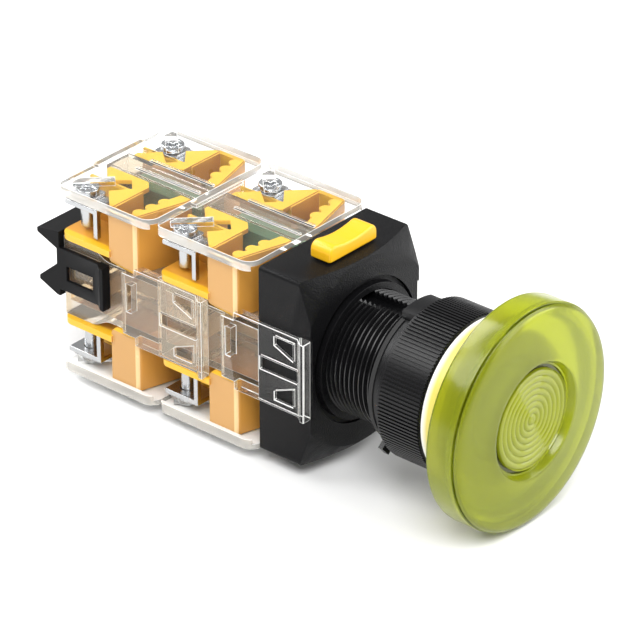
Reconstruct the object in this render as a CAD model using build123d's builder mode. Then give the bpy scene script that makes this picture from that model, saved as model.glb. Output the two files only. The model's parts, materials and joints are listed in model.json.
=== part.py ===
"""Emergency stop switch for a 22 mm panel hole, with two stacked contact blocks.

Millimetres, +Z up. The origin is on the barrel's axis, in the housing face that
the back of the panel rests on. The mushroom faces -Y and the contact blocks are at +Y.
"""
import os
from math import degrees, hypot, sqrt

from build123d import *

# Base housing
housing_width = 28.0
housing_height = 35.0
housing_depth = 11.4
housing_face_radius = 17.2
housing_corner_setback = 2.75
housing_front_wall = 3.0
housing_side_wall = 1.0
housing_top_wall = 1.5
housing_edge_radius = 0.7
collar_width = 1.3
collar_height = 0.7
face_groove_width = 0.9
face_groove_depth = 0.8

# Threaded barrel
barrel_radius = 10.9
barrel_front_reach = 28.3
barrel_guide_length = 5.0
barrel_guide_back = 3.0
barrel_wall = 2.2
barrel_rear_wall = 2.6
barrel_guide_wall = 3.54
barrel_plug_gap = 2.9
keyway_width = 3.5
keyway_depth = 1.6
running_clearance = 0.06
seat_clearance = 0.05

# Knurled nut, locating washer and gasket
open_thread_length = 10.9
gasket_thickness = 0.8
gasket_width = 1.4
gasket_clearance = 0.3
washer_thickness = 1.8
washer_width = 1.2
washer_lug_width = 7.4
washer_lug_rise = 2.55
washer_foot_rise = 3.7
washer_foot_width = 2.4
washer_foot_angle = 222.0
key_clearance = 0.15
nut_length = 9.8
nut_wall = 3.3
nut_chamfer = 0.6
nut_groove_width = 0.5
nut_groove_depth = 0.25

# White diffuser ring at the front of the head
diffuser_wall = 3.0
diffuser_length = 5.3
diffuser_lip_width = 1.7
diffuser_gap = 0.1

# Mushroom cap and its lens
cap_radius = 20.0
cap_rim_gap = 0.5
cap_band_length = 5.4
cap_rim_round = 0.7
cap_groove_width = 0.4
cap_groove_depth = 0.5
cap_bevel_depth = 0.7
cap_bevel_width = 1.4
cap_dome_height = 0.6
cap_wall = 1.8
cap_face_thickness = 2.2
recess_radius = 10.5
recess_depth = 0.9
recess_floor_thickness = 1.3
lens_radius = 9.4
lens_thickness = 0.9
lens_rim_width = 0.6
lens_rim_height = 0.35
cap_travel = 4.0

# Plunger, latch clip, return spring and lamp inside the head
plunger_wall = 2.7
plunger_flange_gap = 0.2
plunger_flange_thickness = 1.3
plunger_front_reach = 26.9
hub_tail_wall = 1.3
hub_tail_length = 6.0
latch_wire_radius = 0.4
latch_clip_gap_angle = 70.0
latch_groove_depth = 0.35
spring_wire_radius = 0.5
spring_turns = 6
lamp_holder_gap = 0.3
lamp_socket_radius = 2.8
lamp_socket_depth = 6.0
lamp_radius = 2.7
lamp_holder_reach = 25.0
lamp_tip_reach = 28.2

# Yellow lock lever and the bayonet ring that it turns
lever_width = 12.2
lever_depth = 4.4
lever_end_height = 3.4
lever_middle_height = 2.3
lever_corner_radius = 1.5
lever_edge_radius = 0.5
lever_float = 0.25
lever_setback = 2.65
lever_neck_width = 3.0
lever_neck_depth = 2.2
lever_shoe_width = 7.0
lever_shoe_depth = 3.6
lever_shoe_thickness = 0.8
lever_shoe_gap = 0.15
lever_tongue_width = 1.8
lever_tongue_length = 2.0
lever_travel = 5.0
lever_slot_clearance = 0.2
ring_width = 1.7
ring_thickness = 2.6
ring_ear_gap = 0.55
ring_ear_width = 7.0
ring_notch_width = 2.8
ring_lug_depth = 0.95
ring_lug_width = 4.0
ring_lug_clearance = 0.15

# Contact blocks, one behind the other
block_pitch = 22.6
block_gap = 0.2
block_side_setback = 0.4
block_bar_half_height = 5.9
block_shelf_height = 7.6
block_shoulder_start = 11.5
block_shoulder_end = 16.5
tower_half_width = 3.6
tower_wall = 0.7
tower_setback = 0.5
block_end_wall = 0.7
block_side_wall = 0.7
block_floor_wall = 0.9
pad_depth = 7.85
pad_low_depth = 5.0
hook_gap = 0.05
hook_thickness = 0.7
hook_half_height = 7.4
hook_reach = 11.35
hook_bar_depth = 2.3
hook_bar_height = 1.15
hook_tooth_height = 0.4
hook_slot_half_height = 1.2
hook_slot_end = 0.8
hook_window_front = 8.1
hook_window_back = 4.0
hook_window_low = 2.7
hook_window_middle = 4.4
hook_window_high = 6.0
hook_window_chamfer = 0.3
side_window_start = 6.9
side_window_width = 1.2
side_window_height = 5.4

# Clear covers
cover_overhang = 1.4
cover_thickness = 1.0
cover_skirt_width = 0.8
cover_skirt_height = 0.9
cover_back_corner_radius = 2.5
cover_front_corner_chamfer = 1.0
cover_ridge_height = 0.3
cover_ridge_depth = 0.8
well_size = 4.7
well_wall = 0.5
well_depth = 1.6
rail_spacing = 3.4
rail_width = 0.6
rail_height = 0.8
rail_length = 15.0
cover_rib_gap = 0.3

# Terminal shrouds
shroud_start = 5.8
shroud_side_length = 5.3
shroud_length = 16.4
shroud_stand_out = 0.6
shroud_low_z = 6.1
shroud_top_gap = 0.2
shroud_wall = 0.8
shroud_bay_width = 4.6
shroud_floor_lift = 0.05
shelf_thickness = 1.2
shelf_stand_out = 0.2
shelf_corner_radius = 3.0
top_plate_gap = 0.3
tooth_width = 1.7
tooth_depth = 1.2
tooth_count = 3
band_start = 2.4
pocket_floor_z = 8.7
rim_wall = 0.9
inner_wall_start = 0.6
probe_hole_radius = 1.3
probe_hole_y = 15.3
probe_hole_distance = 4.8
tongue_slot_clearance = 0.2

# Terminals
screw_side_distance = 2.8
screw_y = 17.6
screw_shaft_radius = 1.45
screw_head_radius = 2.1
screw_head_height = 1.5
screw_tip_z = 9.4
screw_recess_width = 0.7
screw_recess_length = 2.8
screw_recess_depth = 0.8
saddle_size = 5.6
saddle_thickness = 0.7
plate_z = 13.5
plate_thickness = 0.9
plate_width = 5.6
plate_hole_clearance = 0.1
leg_y = 14.4
leg_low_z = 9.0
link_distance = 2.1
link_low_z = 9.0
link_high_z = 10.8
tongue_y = 8.3
tongue_gap = 0.9
contact_tip_radius = 0.8
contact_tip_height = 0.35

# Actuator and moving contacts
actuator_start = 1.2
actuator_half_width = 2.5
actuator_end_gap = 1.7
foot_reach = 5.0
foot_width = 4.0
foot_height = 2.4
foot_z = 5.95
foot_gap = 0.05
foot_window_clearance = 0.2
arm_y = 13.0
arm_depth = 1.4
arm_half_height = 1.5
arm_side_gap = 1.2
bridge_end_gap = 0.5
bridge_height = 1.8
bridge_thickness = 0.6
contact_gap = 0.03
bridge_window_length = 3.2
bridge_window_clearance = 0.3
contact_spring_radius = 0.85
contact_spring_wire = 0.2
contact_spring_turns = 4
side_spring_distance = 2.7
side_spring_radius = 1.7
side_spring_wire = 0.22
side_spring_turns = 6

# Black end clip
clip_top_z = 8.6
clip_tip_top_z = 7.9
clip_tip_low_z = 7.0
clip_notch_top_z = 5.2
clip_notch_low_z = 2.2
clip_low_tip_top_z = -1.4
clip_low_tip_low_z = -2.2
clip_low_z = -3.9
clip_web = 0.7
clip_upper_reach = 5.2
clip_lower_reach = 4.9
clip_gap = 0.1
clip_hook_low_z = -2.6
clip_hook_high_z = 5.6
clip_window_low_z = -0.4
clip_window_high_z = 2.4
clip_window_start = 3.5
clip_window_end = 9.6

# Radii and half widths that follow the barrel and the housing
collar_radius = barrel_radius + collar_width
gasket_outer_radius = barrel_radius + gasket_width
washer_outer_radius = barrel_radius + washer_width
washer_lug_radius = barrel_radius + washer_lug_rise
nut_radius = barrel_radius + nut_wall
diffuser_radius = barrel_radius + diffuser_wall
diffuser_lip_radius = barrel_radius - diffuser_lip_width
spring_pocket_radius = barrel_radius - barrel_wall
barrel_rear_bore_radius = barrel_radius - barrel_rear_wall
keyway_floor_height = barrel_radius - keyway_depth
plunger_radius = barrel_radius - barrel_guide_wall - running_clearance
plunger_bore_radius = plunger_radius - plunger_wall
plunger_flange_radius = spring_pocket_radius - plunger_flange_gap
hub_tail_radius = plunger_bore_radius + hub_tail_wall
lamp_holder_radius = plunger_bore_radius - lamp_holder_gap
ring_outer_radius = barrel_radius + ring_width
lever_shoe_bottom = housing_height / 2 - housing_top_wall - lever_shoe_gap - lever_shoe_thickness
ring_ear_radius = lever_shoe_bottom - ring_ear_gap
block_half_width = housing_width / 2 - block_side_setback
tower_half_height = housing_height / 2 - tower_setback
shroud_top_z = tower_half_height - shroud_top_gap
actuator_half_height = tower_half_height - tower_wall - actuator_end_gap
cover_half_width = block_half_width + cover_overhang
shroud_outer_x = block_half_width + shroud_stand_out
shelf_outer_x = block_half_width + shelf_stand_out
screw_x = block_half_width - screw_side_distance
side_spring_x = block_half_width - side_spring_distance
arm_reach = block_half_width - arm_side_gap
link_x = screw_x - link_distance
shroud_inner_wall_x = screw_x - shroud_bay_width
top_plate_inner_x = tower_half_width + top_plate_gap
top_plate_outer_x = screw_x - well_size / 2 - well_wall - cover_rib_gap
probe_hole_x = screw_x - probe_hole_distance
bridge_half_length = shroud_inner_wall_x - bridge_end_gap
tongue_inner_x = tower_half_width + tongue_gap

# Places worked out from the sizes above, measured along Y from the panel seat
gasket_back = -open_thread_length
washer_back = gasket_back - gasket_thickness
washer_front = washer_back - washer_thickness
nut_front = washer_front - nut_length
diffuser_back = nut_front - diffuser_gap
diffuser_front = diffuser_back - diffuser_length
cap_rim = diffuser_front - cap_rim_gap
cap_groove = cap_rim - cap_band_length
cap_bevel = cap_groove - cap_groove_width
cap_shoulder = cap_bevel - cap_bevel_depth
cap_front = cap_shoulder - cap_dome_height
cap_ceiling = cap_shoulder + cap_face_thickness
recess_floor = cap_front + recess_depth
barrel_front = -barrel_front_reach
guide_back = -barrel_guide_back
guide_front = guide_back - barrel_guide_length
plunger_front = -plunger_front_reach
plunger_back = housing_depth - foot_reach
barrel_plug_length = housing_depth - barrel_plug_gap
lever_middle = lever_setback + lever_depth / 2
housing_top = housing_height / 2
block_starts = {"front": housing_depth, "rear": housing_depth + block_pitch}
block_length = block_pitch - block_gap
stack_end = housing_depth + 2 * block_pitch
hook_inner_x = housing_width / 2 + hook_gap
hook_outer_x = hook_inner_x + hook_thickness
actuator_end = block_pitch - foot_reach - foot_gap
plate_top = plate_z + plate_thickness
saddle_z = plate_top + 0.02
head_z = saddle_z + saddle_thickness + 0.02
bridge_y = tongue_y + plate_thickness + contact_tip_height + contact_gap
bridge_z = (link_low_z + link_high_z) / 2
# radius at which the tongue drives the ring, and the turn that its whole travel gives
tongue_radius = ring_ear_radius - lever_tongue_length / 4
lever_turn_degrees = degrees(lever_travel / tongue_radius)


def section(y_back):
    """Sketch plane across the barrel's axis: local x is X, local y is Z, and it grows towards the front."""
    return Plane.XZ.offset(-y_back)


def half_plane():
    """Sketch plane for turned pieces: local x is Y, local y is the radius."""
    return Plane.YZ


def finish(piece, name):
    """Name a finished piece and write it to its own file."""
    piece.part.label = name
    export_step(piece.part, f"parts/{name}.step")


def tube(y_front, y_back, outer, inner):
    """A plain turned tube about the barrel's axis, added to the piece that is being built."""
    with BuildSketch(section(y_back)) as ring:
        Circle(outer)
        Circle(inner, mode=Mode.SUBTRACT)
    extrude(ring.sketch, amount=y_back - y_front)


def bore(y_front, y_back, radius):
    """A round hole about the barrel's axis, cut from the piece that is being built."""
    with BuildSketch(section(y_back)) as disc:
        Circle(radius)
    extrude(disc.sketch, amount=y_back - y_front, mode=Mode.SUBTRACT)


def block_of(x_span, y_span, z_span, mode=Mode.ADD):
    """A straight block between the given limits, added to or cut from the piece being built."""
    with BuildSketch(section(y_span[1])) as end:
        with Locations(((x_span[0] + x_span[1]) / 2, (z_span[0] + z_span[1]) / 2)):
            Rectangle(x_span[1] - x_span[0], z_span[1] - z_span[0])
    extrude(end.sketch, amount=y_span[1] - y_span[0], mode=mode)


def coil(places, y_front, y_back, coil_radius, wire_radius, turns):
    """Coil springs with their axes along Y, between two seats, one at each (x, z) place."""
    first = y_front + wire_radius
    length = y_back - y_front - 2 * wire_radius
    for x, z in places:
        with BuildLine() as path:
            Helix(length / turns, length, coil_radius, center=(x, first, z), direction=(0, 1, 0))
        with BuildSketch(Plane(origin=path.line @ 0, z_dir=path.line % 0)) as wire:
            Circle(wire_radius)
        sweep(wire.sketch, path=path.line, is_frenet=True)


def make_housing():
    """Black base: a box whose front is turned to a cone around a flat round face."""
    corner_radius = hypot(housing_width, housing_height) / 2
    slope = (corner_radius - housing_face_radius) / housing_corner_setback
    with BuildPart() as housing:
        with BuildSketch(section(housing_depth)):
            RectangleRounded(housing_width, housing_height, housing_edge_radius)
        extrude(amount=housing_depth)
        with BuildSketch(half_plane()):
            with BuildLine():
                Polyline(
                    (0, 0),
                    (0, housing_face_radius),
                    (housing_depth, housing_face_radius + slope * housing_depth),
                    (housing_depth, 0),
                    close=True,
                )
            make_face()
        revolve(axis=Axis.Y, mode=Mode.INTERSECT)
        tube(-collar_height, 0, collar_radius, barrel_radius + seat_clearance)
        with BuildSketch(section(face_groove_depth)):
            Circle(collar_radius + face_groove_width)
            Circle(collar_radius, mode=Mode.SUBTRACT)
        extrude(amount=face_groove_depth, mode=Mode.SUBTRACT)
        bore(-collar_height, housing_front_wall, barrel_radius + seat_clearance)
        # open space behind the front wall for the bayonet ring and the plunger
        with BuildSketch(section(housing_depth)):
            RectangleRounded(
                housing_width - 2 * housing_side_wall,
                housing_height - 2 * housing_top_wall,
                housing_edge_radius,
            )
        extrude(amount=housing_depth - housing_front_wall, mode=Mode.SUBTRACT)
        # slot in the top wall for the lever's neck
        neck_reach = lever_neck_width / 2 + lever_slot_clearance
        neck_half_depth = lever_neck_depth / 2 + lever_slot_clearance
        block_of(
            (-neck_reach, neck_reach + lever_travel),
            (lever_middle - neck_half_depth, lever_middle + neck_half_depth),
            (housing_top - housing_top_wall - 1, housing_top + 1),
            Mode.SUBTRACT,
        )
        # notches in the front edges of both sides for the teeth of the front block's hooks
        tooth_end = housing_depth - hook_reach + hook_bar_depth + hook_gap
        for side in (-1, 1):
            edge = sorted((side * (housing_width / 2 - hook_tooth_height), side * housing_width))
            block_of(
                edge,
                (0, tooth_end),
                (-hook_half_height - hook_gap, hook_half_height + hook_gap),
                Mode.SUBTRACT,
            )
    finish(housing, "base_housing")


def make_barrel():
    """Threaded barrel with a keyway along its top and a bayonet groove at the back."""
    groove_half = ring_thickness / 2 + ring_lug_clearance
    groove_floor = barrel_radius - ring_lug_depth - ring_lug_clearance
    with BuildPart() as barrel:
        tube(barrel_front, barrel_plug_length, barrel_radius, plunger_radius + running_clearance)
        bore(barrel_front, guide_front, spring_pocket_radius)
        bore(guide_back, barrel_plug_length, barrel_rear_bore_radius)
        block_of(
            (-keyway_width / 2, keyway_width / 2),
            (nut_front + nut_length / 2, barrel_plug_length),
            (keyway_floor_height, barrel_radius + 1),
            Mode.SUBTRACT,
        )
        # bayonet groove, and the two entries that open it to the back
        with BuildSketch(section(lever_middle + groove_half)):
            Circle(barrel_radius + 1)
            Circle(groove_floor, mode=Mode.SUBTRACT)
        extrude(amount=2 * groove_half, mode=Mode.SUBTRACT)
        entry = ring_lug_width / 2 + 2 * ring_lug_clearance
        with BuildSketch(section(barrel_plug_length)):
            with PolarLocations(barrel_radius, 2, start_angle=-lever_turn_degrees):
                Rectangle(2 * (barrel_radius - groove_floor), 2 * entry)
        extrude(amount=barrel_plug_length - lever_middle, mode=Mode.SUBTRACT)
        # groove in the guide for the latch clip
        clip_y = (guide_front + guide_back) / 2
        with BuildSketch(section(clip_y + latch_wire_radius)):
            Circle(plunger_radius + 2 * latch_wire_radius + running_clearance)
        extrude(amount=2 * latch_wire_radius, mode=Mode.SUBTRACT)
    finish(barrel, "threaded_barrel")


def make_nut():
    """Round nut that clamps the panel, with a groove beside its front edge."""
    with BuildPart() as nut:
        tube(nut_front, washer_front, nut_radius, barrel_radius + running_clearance)
        rim = nut.edges().filter_by(GeomType.CIRCLE).group_by(SortBy.RADIUS)[-1]
        chamfer(rim, nut_chamfer)
        with BuildSketch(section(nut_front + 3 * nut_groove_width)):
            Circle(nut_radius + 1)
            Circle(nut_radius - nut_groove_depth, mode=Mode.SUBTRACT)
        extrude(amount=nut_groove_width, mode=Mode.SUBTRACT)
    finish(nut, "knurled_nut")


def make_washer():
    """Washer keyed in the barrel's slot, with a raised lug at the top that locates the panel."""
    with BuildPart() as washer:
        tube(washer_front, washer_back, washer_outer_radius, barrel_radius + running_clearance)
        with BuildSketch(section(gasket_back)):
            Circle(washer_lug_radius)
            with Locations((0, washer_lug_radius)):
                Rectangle(washer_lug_width, 2 * washer_lug_radius, mode=Mode.INTERSECT)
            Circle(barrel_radius + running_clearance, mode=Mode.SUBTRACT)
        extrude(amount=gasket_back - washer_front)
        with BuildSketch(section(washer_front + washer_thickness / 2)):
            with PolarLocations(barrel_radius + washer_foot_rise / 2, 1, start_angle=washer_foot_angle):
                Rectangle(washer_foot_rise, washer_foot_width)
            Circle(barrel_radius + running_clearance, mode=Mode.SUBTRACT)
        extrude(amount=washer_thickness / 2)
        block_of(
            (-keyway_width / 2 + key_clearance, keyway_width / 2 - key_clearance),
            (washer_front, gasket_back),
            (keyway_floor_height + key_clearance, barrel_radius + 0.5),
        )
    finish(washer, "locating_washer")


def make_gasket():
    """Rubber ring behind the washer, open at the top for the lug and the key."""
    with BuildPart() as gasket:
        tube(washer_back, gasket_back, gasket_outer_radius, barrel_radius + gasket_clearance)
        opening = washer_lug_width / 2 + key_clearance
        block_of(
            (-opening, opening),
            (washer_back, gasket_back),
            (0, gasket_outer_radius + 1),
            Mode.SUBTRACT,
        )
    finish(gasket, "panel_gasket")


def make_diffuser():
    """White ring in front of the nut, with a lip that laps the end of the barrel."""
    with BuildPart() as diffuser:
        tube(diffuser_front, diffuser_back, diffuser_radius, barrel_radius + seat_clearance)
        tube(diffuser_front, barrel_front, barrel_radius + 1, diffuser_lip_radius)
        rim = diffuser.edges().filter_by(GeomType.CIRCLE).group_by(Axis.Y)[0]
        chamfer(rim.group_by(SortBy.RADIUS)[-1], housing_edge_radius)
    finish(diffuser, "diffuser_ring")


def make_cap():
    """Translucent mushroom: band, groove, bevel and shallow dome around a round recess."""
    bevel_radius = cap_radius - cap_bevel_width
    inner_radius = cap_radius - cap_wall
    floor_back = recess_floor + lens_thickness + recess_floor_thickness
    with BuildPart() as cap:
        with BuildSketch(half_plane()):
            with BuildLine():
                Polyline(
                    (cap_rim, inner_radius),
                    (cap_rim, cap_radius - cap_rim_round),
                    (cap_rim - cap_rim_round, cap_radius),
                    (cap_groove, cap_radius),
                    (cap_groove, cap_radius - cap_groove_depth),
                    (cap_bevel, cap_radius - cap_groove_depth),
                    (cap_shoulder, bevel_radius),
                )
                ThreePointArc(
                    (cap_shoulder, bevel_radius),
                    (cap_front + cap_dome_height / 4, (bevel_radius + recess_radius) / 2),
                    (cap_front, recess_radius),
                )
                Polyline(
                    (cap_front, recess_radius),
                    (recess_floor, lens_radius + seat_clearance),
                    (recess_floor + lens_thickness, lens_radius + seat_clearance),
                    (recess_floor + lens_thickness, 0),
                    (floor_back, 0),
                    (floor_back, plunger_bore_radius),
                    (plunger_front + hub_tail_length, plunger_bore_radius),
                    (plunger_front + hub_tail_length, hub_tail_radius),
                    (plunger_front - seat_clearance, hub_tail_radius),
                    (plunger_front - seat_clearance, plunger_radius),
                    (floor_back, plunger_radius),
                    (cap_ceiling, lens_radius + cap_wall),
                    (cap_ceiling, inner_radius - cap_wall),
                )
                ThreePointArc(
                    (cap_ceiling, inner_radius - cap_wall),
                    (
                        cap_ceiling + cap_wall * (1 - 1 / sqrt(2)),
                        inner_radius - cap_wall * (1 - 1 / sqrt(2)),
                    ),
                    (cap_ceiling + cap_wall, inner_radius),
                )
                Line((cap_ceiling + cap_wall, inner_radius), (cap_rim, inner_radius))
            make_face()
        revolve(axis=Axis.Y)
    finish(cap, "mushroom_cap")
    with BuildPart() as lens:
        tube(recess_floor, recess_floor + lens_thickness, lens_radius, 0.01)
        tube(recess_floor - lens_rim_height, recess_floor, lens_radius, lens_radius - lens_rim_width)
    finish(lens, "lens_disc")


def make_plunger():
    """Sliding tube that the cap turns in, with its latch clip and return spring."""
    clip_y = (guide_front + guide_back) / 2
    with BuildPart() as plunger:
        tube(plunger_front, plunger_back, plunger_radius, plunger_bore_radius)
        tube(
            plunger_front,
            plunger_front + plunger_flange_thickness,
            plunger_flange_radius,
            plunger_bore_radius,
        )
        bore(
            plunger_front,
            plunger_front + hub_tail_length + seat_clearance,
            hub_tail_radius + running_clearance,
        )
        # ring that the clip drops into when the cap is pushed home
        with BuildSketch(section(clip_y - cap_travel + 2 * latch_wire_radius)):
            Circle(plunger_radius + 1)
            Circle(plunger_radius - latch_groove_depth, mode=Mode.SUBTRACT)
        extrude(amount=4 * latch_wire_radius, mode=Mode.SUBTRACT)
    finish(plunger, "plunger_tube")
    wire_line = plunger_radius + latch_wire_radius + running_clearance / 2
    with BuildPart() as clip:
        with BuildSketch(half_plane()):
            with Locations((clip_y, wire_line)):
                Circle(latch_wire_radius - running_clearance)
        revolve(axis=Axis.Y, revolution_arc=360 - latch_clip_gap_angle)
    finish(clip, "latch_clip")
    spring_front = plunger_front + plunger_flange_thickness
    with BuildPart() as spring:
        coil(
            [(0, 0)],
            spring_front + seat_clearance,
            guide_front - seat_clearance,
            (plunger_radius + spring_pocket_radius) / 2,
            spring_wire_radius,
            spring_turns,
        )
    finish(spring, "return_spring")


def make_lamp():
    """Lamp on a fixed post in the middle of the plunger."""
    post_front = -lamp_holder_reach
    with BuildPart() as holder:
        tube(post_front, housing_depth, lamp_holder_radius, 0.01)
        bore(post_front, post_front + lamp_socket_depth, lamp_socket_radius)
    finish(holder, "lamp_holder")
    socket_floor = post_front + lamp_socket_depth
    dome = lamp_tip_reach - lamp_radius
    with BuildPart() as lamp:
        with BuildSketch(half_plane()):
            with BuildLine():
                Polyline((-dome, lamp_radius), (socket_floor, lamp_radius), (socket_floor, 0))
                Line((socket_floor, 0), (-lamp_tip_reach, 0))
                RadiusArc((-lamp_tip_reach, 0), (-dome, lamp_radius), lamp_radius)
            make_face()
        revolve(axis=Axis.Y)
    finish(lamp, "led_lamp")


def make_lever():
    """Yellow finger lever with a hollowed top, a neck through the housing and a tongue."""
    bottom = housing_top + lever_float
    half = lever_width / 2
    shoe_low = lever_shoe_bottom
    shoe_top = shoe_low + lever_shoe_thickness
    with BuildPart() as lever:
        with BuildSketch(section(lever_setback + lever_depth)):
            with BuildLine():
                Polyline((-half, bottom + lever_end_height), (-half, bottom), (half, bottom))
                Line((half, bottom), (half, bottom + lever_end_height))
                ThreePointArc(
                    (half, bottom + lever_end_height),
                    (0, bottom + lever_middle_height),
                    (-half, bottom + lever_end_height),
                )
            make_face()
        extrude(amount=lever_depth)
        ends = lever.edges().filter_by(Axis.Y).group_by(Axis.Z)[-1]
        fillet(ends, lever_corner_radius)
        top_rim = lever.faces().filter_by(Axis.Z, reverse=True).sort_by(Axis.Z)[-3:].edges()
        front_rim = [edge for edge in top_rim if edge.center().Z > bottom + lever_middle_height / 2]
        fillet([e for e in front_rim if abs(e.center().Y - lever_middle) > lever_depth / 3], lever_edge_radius)
        block_of(
            (-lever_neck_width / 2, lever_neck_width / 2),
            (lever_middle - lever_neck_depth / 2, lever_middle + lever_neck_depth / 2),
            (shoe_low, bottom),
        )
        block_of(
            (-lever_shoe_width / 2, lever_shoe_width / 2),
            (lever_middle - lever_shoe_depth / 2, lever_middle + lever_shoe_depth / 2),
            (shoe_low, shoe_top),
        )
        block_of(
            (-lever_tongue_width / 2, lever_tongue_width / 2),
            (lever_middle - lever_neck_depth / 2, lever_middle + lever_neck_depth / 2),
            (shoe_low - lever_tongue_length, shoe_low),
        )
    finish(lever, "lock_lever")


def make_bayonet_ring():
    """Ring that holds the barrel, turned by the lever's tongue in its notched ear."""
    back = lever_middle + ring_thickness / 2
    with BuildPart() as ring:
        with BuildSketch(section(back)):
            Circle(ring_outer_radius)
            with Locations((0, ring_ear_radius / 2)):
                Rectangle(ring_ear_width, ring_ear_radius)
            Circle(barrel_radius + running_clearance, mode=Mode.SUBTRACT)
            with PolarLocations(barrel_radius, 2):
                Rectangle(2 * ring_lug_depth, ring_lug_width)
            with Locations((0, ring_outer_radius + ring_ear_radius / 2)):
                Rectangle(ring_notch_width, ring_ear_radius, mode=Mode.SUBTRACT)
        extrude(amount=ring_thickness)
    finish(ring, "bayonet_ring")


def make_block_body(name, start):
    """Clear body of a contact block: side bar, centre tower and the snap hooks in front."""
    end = start + block_length
    with BuildPart() as body:
        with BuildSketch(Plane.YZ):
            with BuildLine():
                for side in (1, -1):
                    low = side * block_bar_half_height
                    high = side * block_shelf_height
                    Line((start, 0), (start, low))
                    Line((start, low), (start + block_shoulder_start, low))
                    Spline(
                        (start + block_shoulder_start, low),
                        (start + block_shoulder_end, high),
                        tangents=((1, 0), (1, 0)),
                    )
                    Line((start + block_shoulder_end, high), (end, high))
                    Line((end, high), (end, 0))
            make_face()
        extrude(amount=block_half_width, both=True)
        block_of(
            (-tower_half_width, tower_half_width),
            (start, end),
            (-tower_half_height, tower_half_height),
        )
        # hollow for the actuator and its arms
        inside = (start + block_end_wall, end - block_end_wall)
        tower_inner = tower_half_width - tower_wall
        block_of(
            (-tower_inner, tower_inner),
            inside,
            (-tower_half_height + tower_wall, tower_half_height - tower_wall),
            Mode.SUBTRACT,
        )
        side_inner = block_half_width - block_side_wall
        floor_inner = block_bar_half_height - block_floor_wall
        block_of((-side_inner, side_inner), inside, (-floor_inner, floor_inner), Mode.SUBTRACT)
        # windows in the tower's walls for the contact bridges
        bridge_low = bridge_z - bridge_height / 2 - bridge_window_clearance
        bridge_high = bridge_z + bridge_height / 2 + bridge_window_clearance
        bridge_front = start + bridge_y - contact_tip_height - bridge_window_clearance
        bridge_back = start + bridge_y + bridge_thickness + cap_travel + bridge_window_clearance
        for side in (1, -1):
            block_of(
                (-tower_half_width - 1, tower_half_width + 1),
                (bridge_front, bridge_back),
                sorted((side * bridge_low, side * bridge_high)),
                Mode.SUBTRACT,
            )
        # windows in both end walls for the actuator's feet
        with BuildSketch(section(end)):
            with GridLocations(1, 2 * foot_z, 1, 2):
                Rectangle(foot_width + 2 * foot_window_clearance, foot_height + 2 * foot_window_clearance)
        extrude(amount=block_length, mode=Mode.SUBTRACT)
        # raised pads on the sides, then the hook plates that reach over the piece in front
        for side in (1, -1):
            root = sorted((side * (block_half_width - block_side_wall), side * hook_outer_x))
            plate = sorted((side * hook_inner_x, side * hook_outer_x))
            block_of(root, (start, start + pad_low_depth), (-hook_half_height, hook_half_height))
            block_of(root, (start, start + pad_depth), (-block_bar_half_height, block_bar_half_height))
            block_of(plate, (start - hook_reach, start), (-hook_half_height, hook_half_height))
        add_hook_bars(start, -hook_half_height, hook_half_height)
        cut_hook_openings(start)
    finish(body, f"{name}_block_body")


def add_hook_bars(start, low, high):
    """Three-cornered catch bar across the front end of each hook, and the tooth behind it."""
    front = start - hook_reach
    for side in (1, -1):
        with BuildSketch(Plane.XY.offset(low)) as bar:
            with BuildLine():
                Polyline(
                    (side * (hook_inner_x - hook_tooth_height), front + hook_bar_depth),
                    (side * (hook_inner_x - hook_tooth_height), front + hook_tooth_height),
                    (side * hook_inner_x, front),
                    (side * (hook_outer_x + hook_bar_height), front),
                    (side * (hook_outer_x + hook_bar_height), front + hook_bar_depth / 3),
                    (side * hook_outer_x, front + hook_bar_depth),
                    close=True,
                )
            make_face()
        extrude(bar.sketch, amount=high - low)


def cut_hook_openings(start):
    """The slot and the two three-cornered windows through each hook, and the narrow side window."""
    slot_front = start - hook_reach + hook_bar_depth
    block_of(
        (-hook_outer_x - 1, hook_outer_x + 1),
        (slot_front, start - hook_slot_end),
        (-hook_slot_half_height, hook_slot_half_height),
        Mode.SUBTRACT,
    )
    with BuildSketch(Plane.YZ) as windows:
        for side in (1, -1):
            with BuildLine():
                Polyline(
                    (start - hook_window_front, side * hook_window_low),
                    (start - hook_window_back, side * hook_window_middle),
                    (start - hook_window_back, side * hook_window_high),
                    (start - hook_window_front, side * hook_window_high),
                    close=True,
                )
            make_face()
    extrude(windows.sketch, amount=hook_outer_x + 1, both=True, mode=Mode.SUBTRACT)
    for side in (1, -1):
        block_of(
            sorted((side * (block_half_width - block_side_wall - 1), side * (hook_outer_x + 1))),
            (start + side_window_start - side_window_width, start + side_window_start),
            (-side_window_height / 4, side_window_height * 3 / 4),
            Mode.SUBTRACT,
        )


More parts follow.
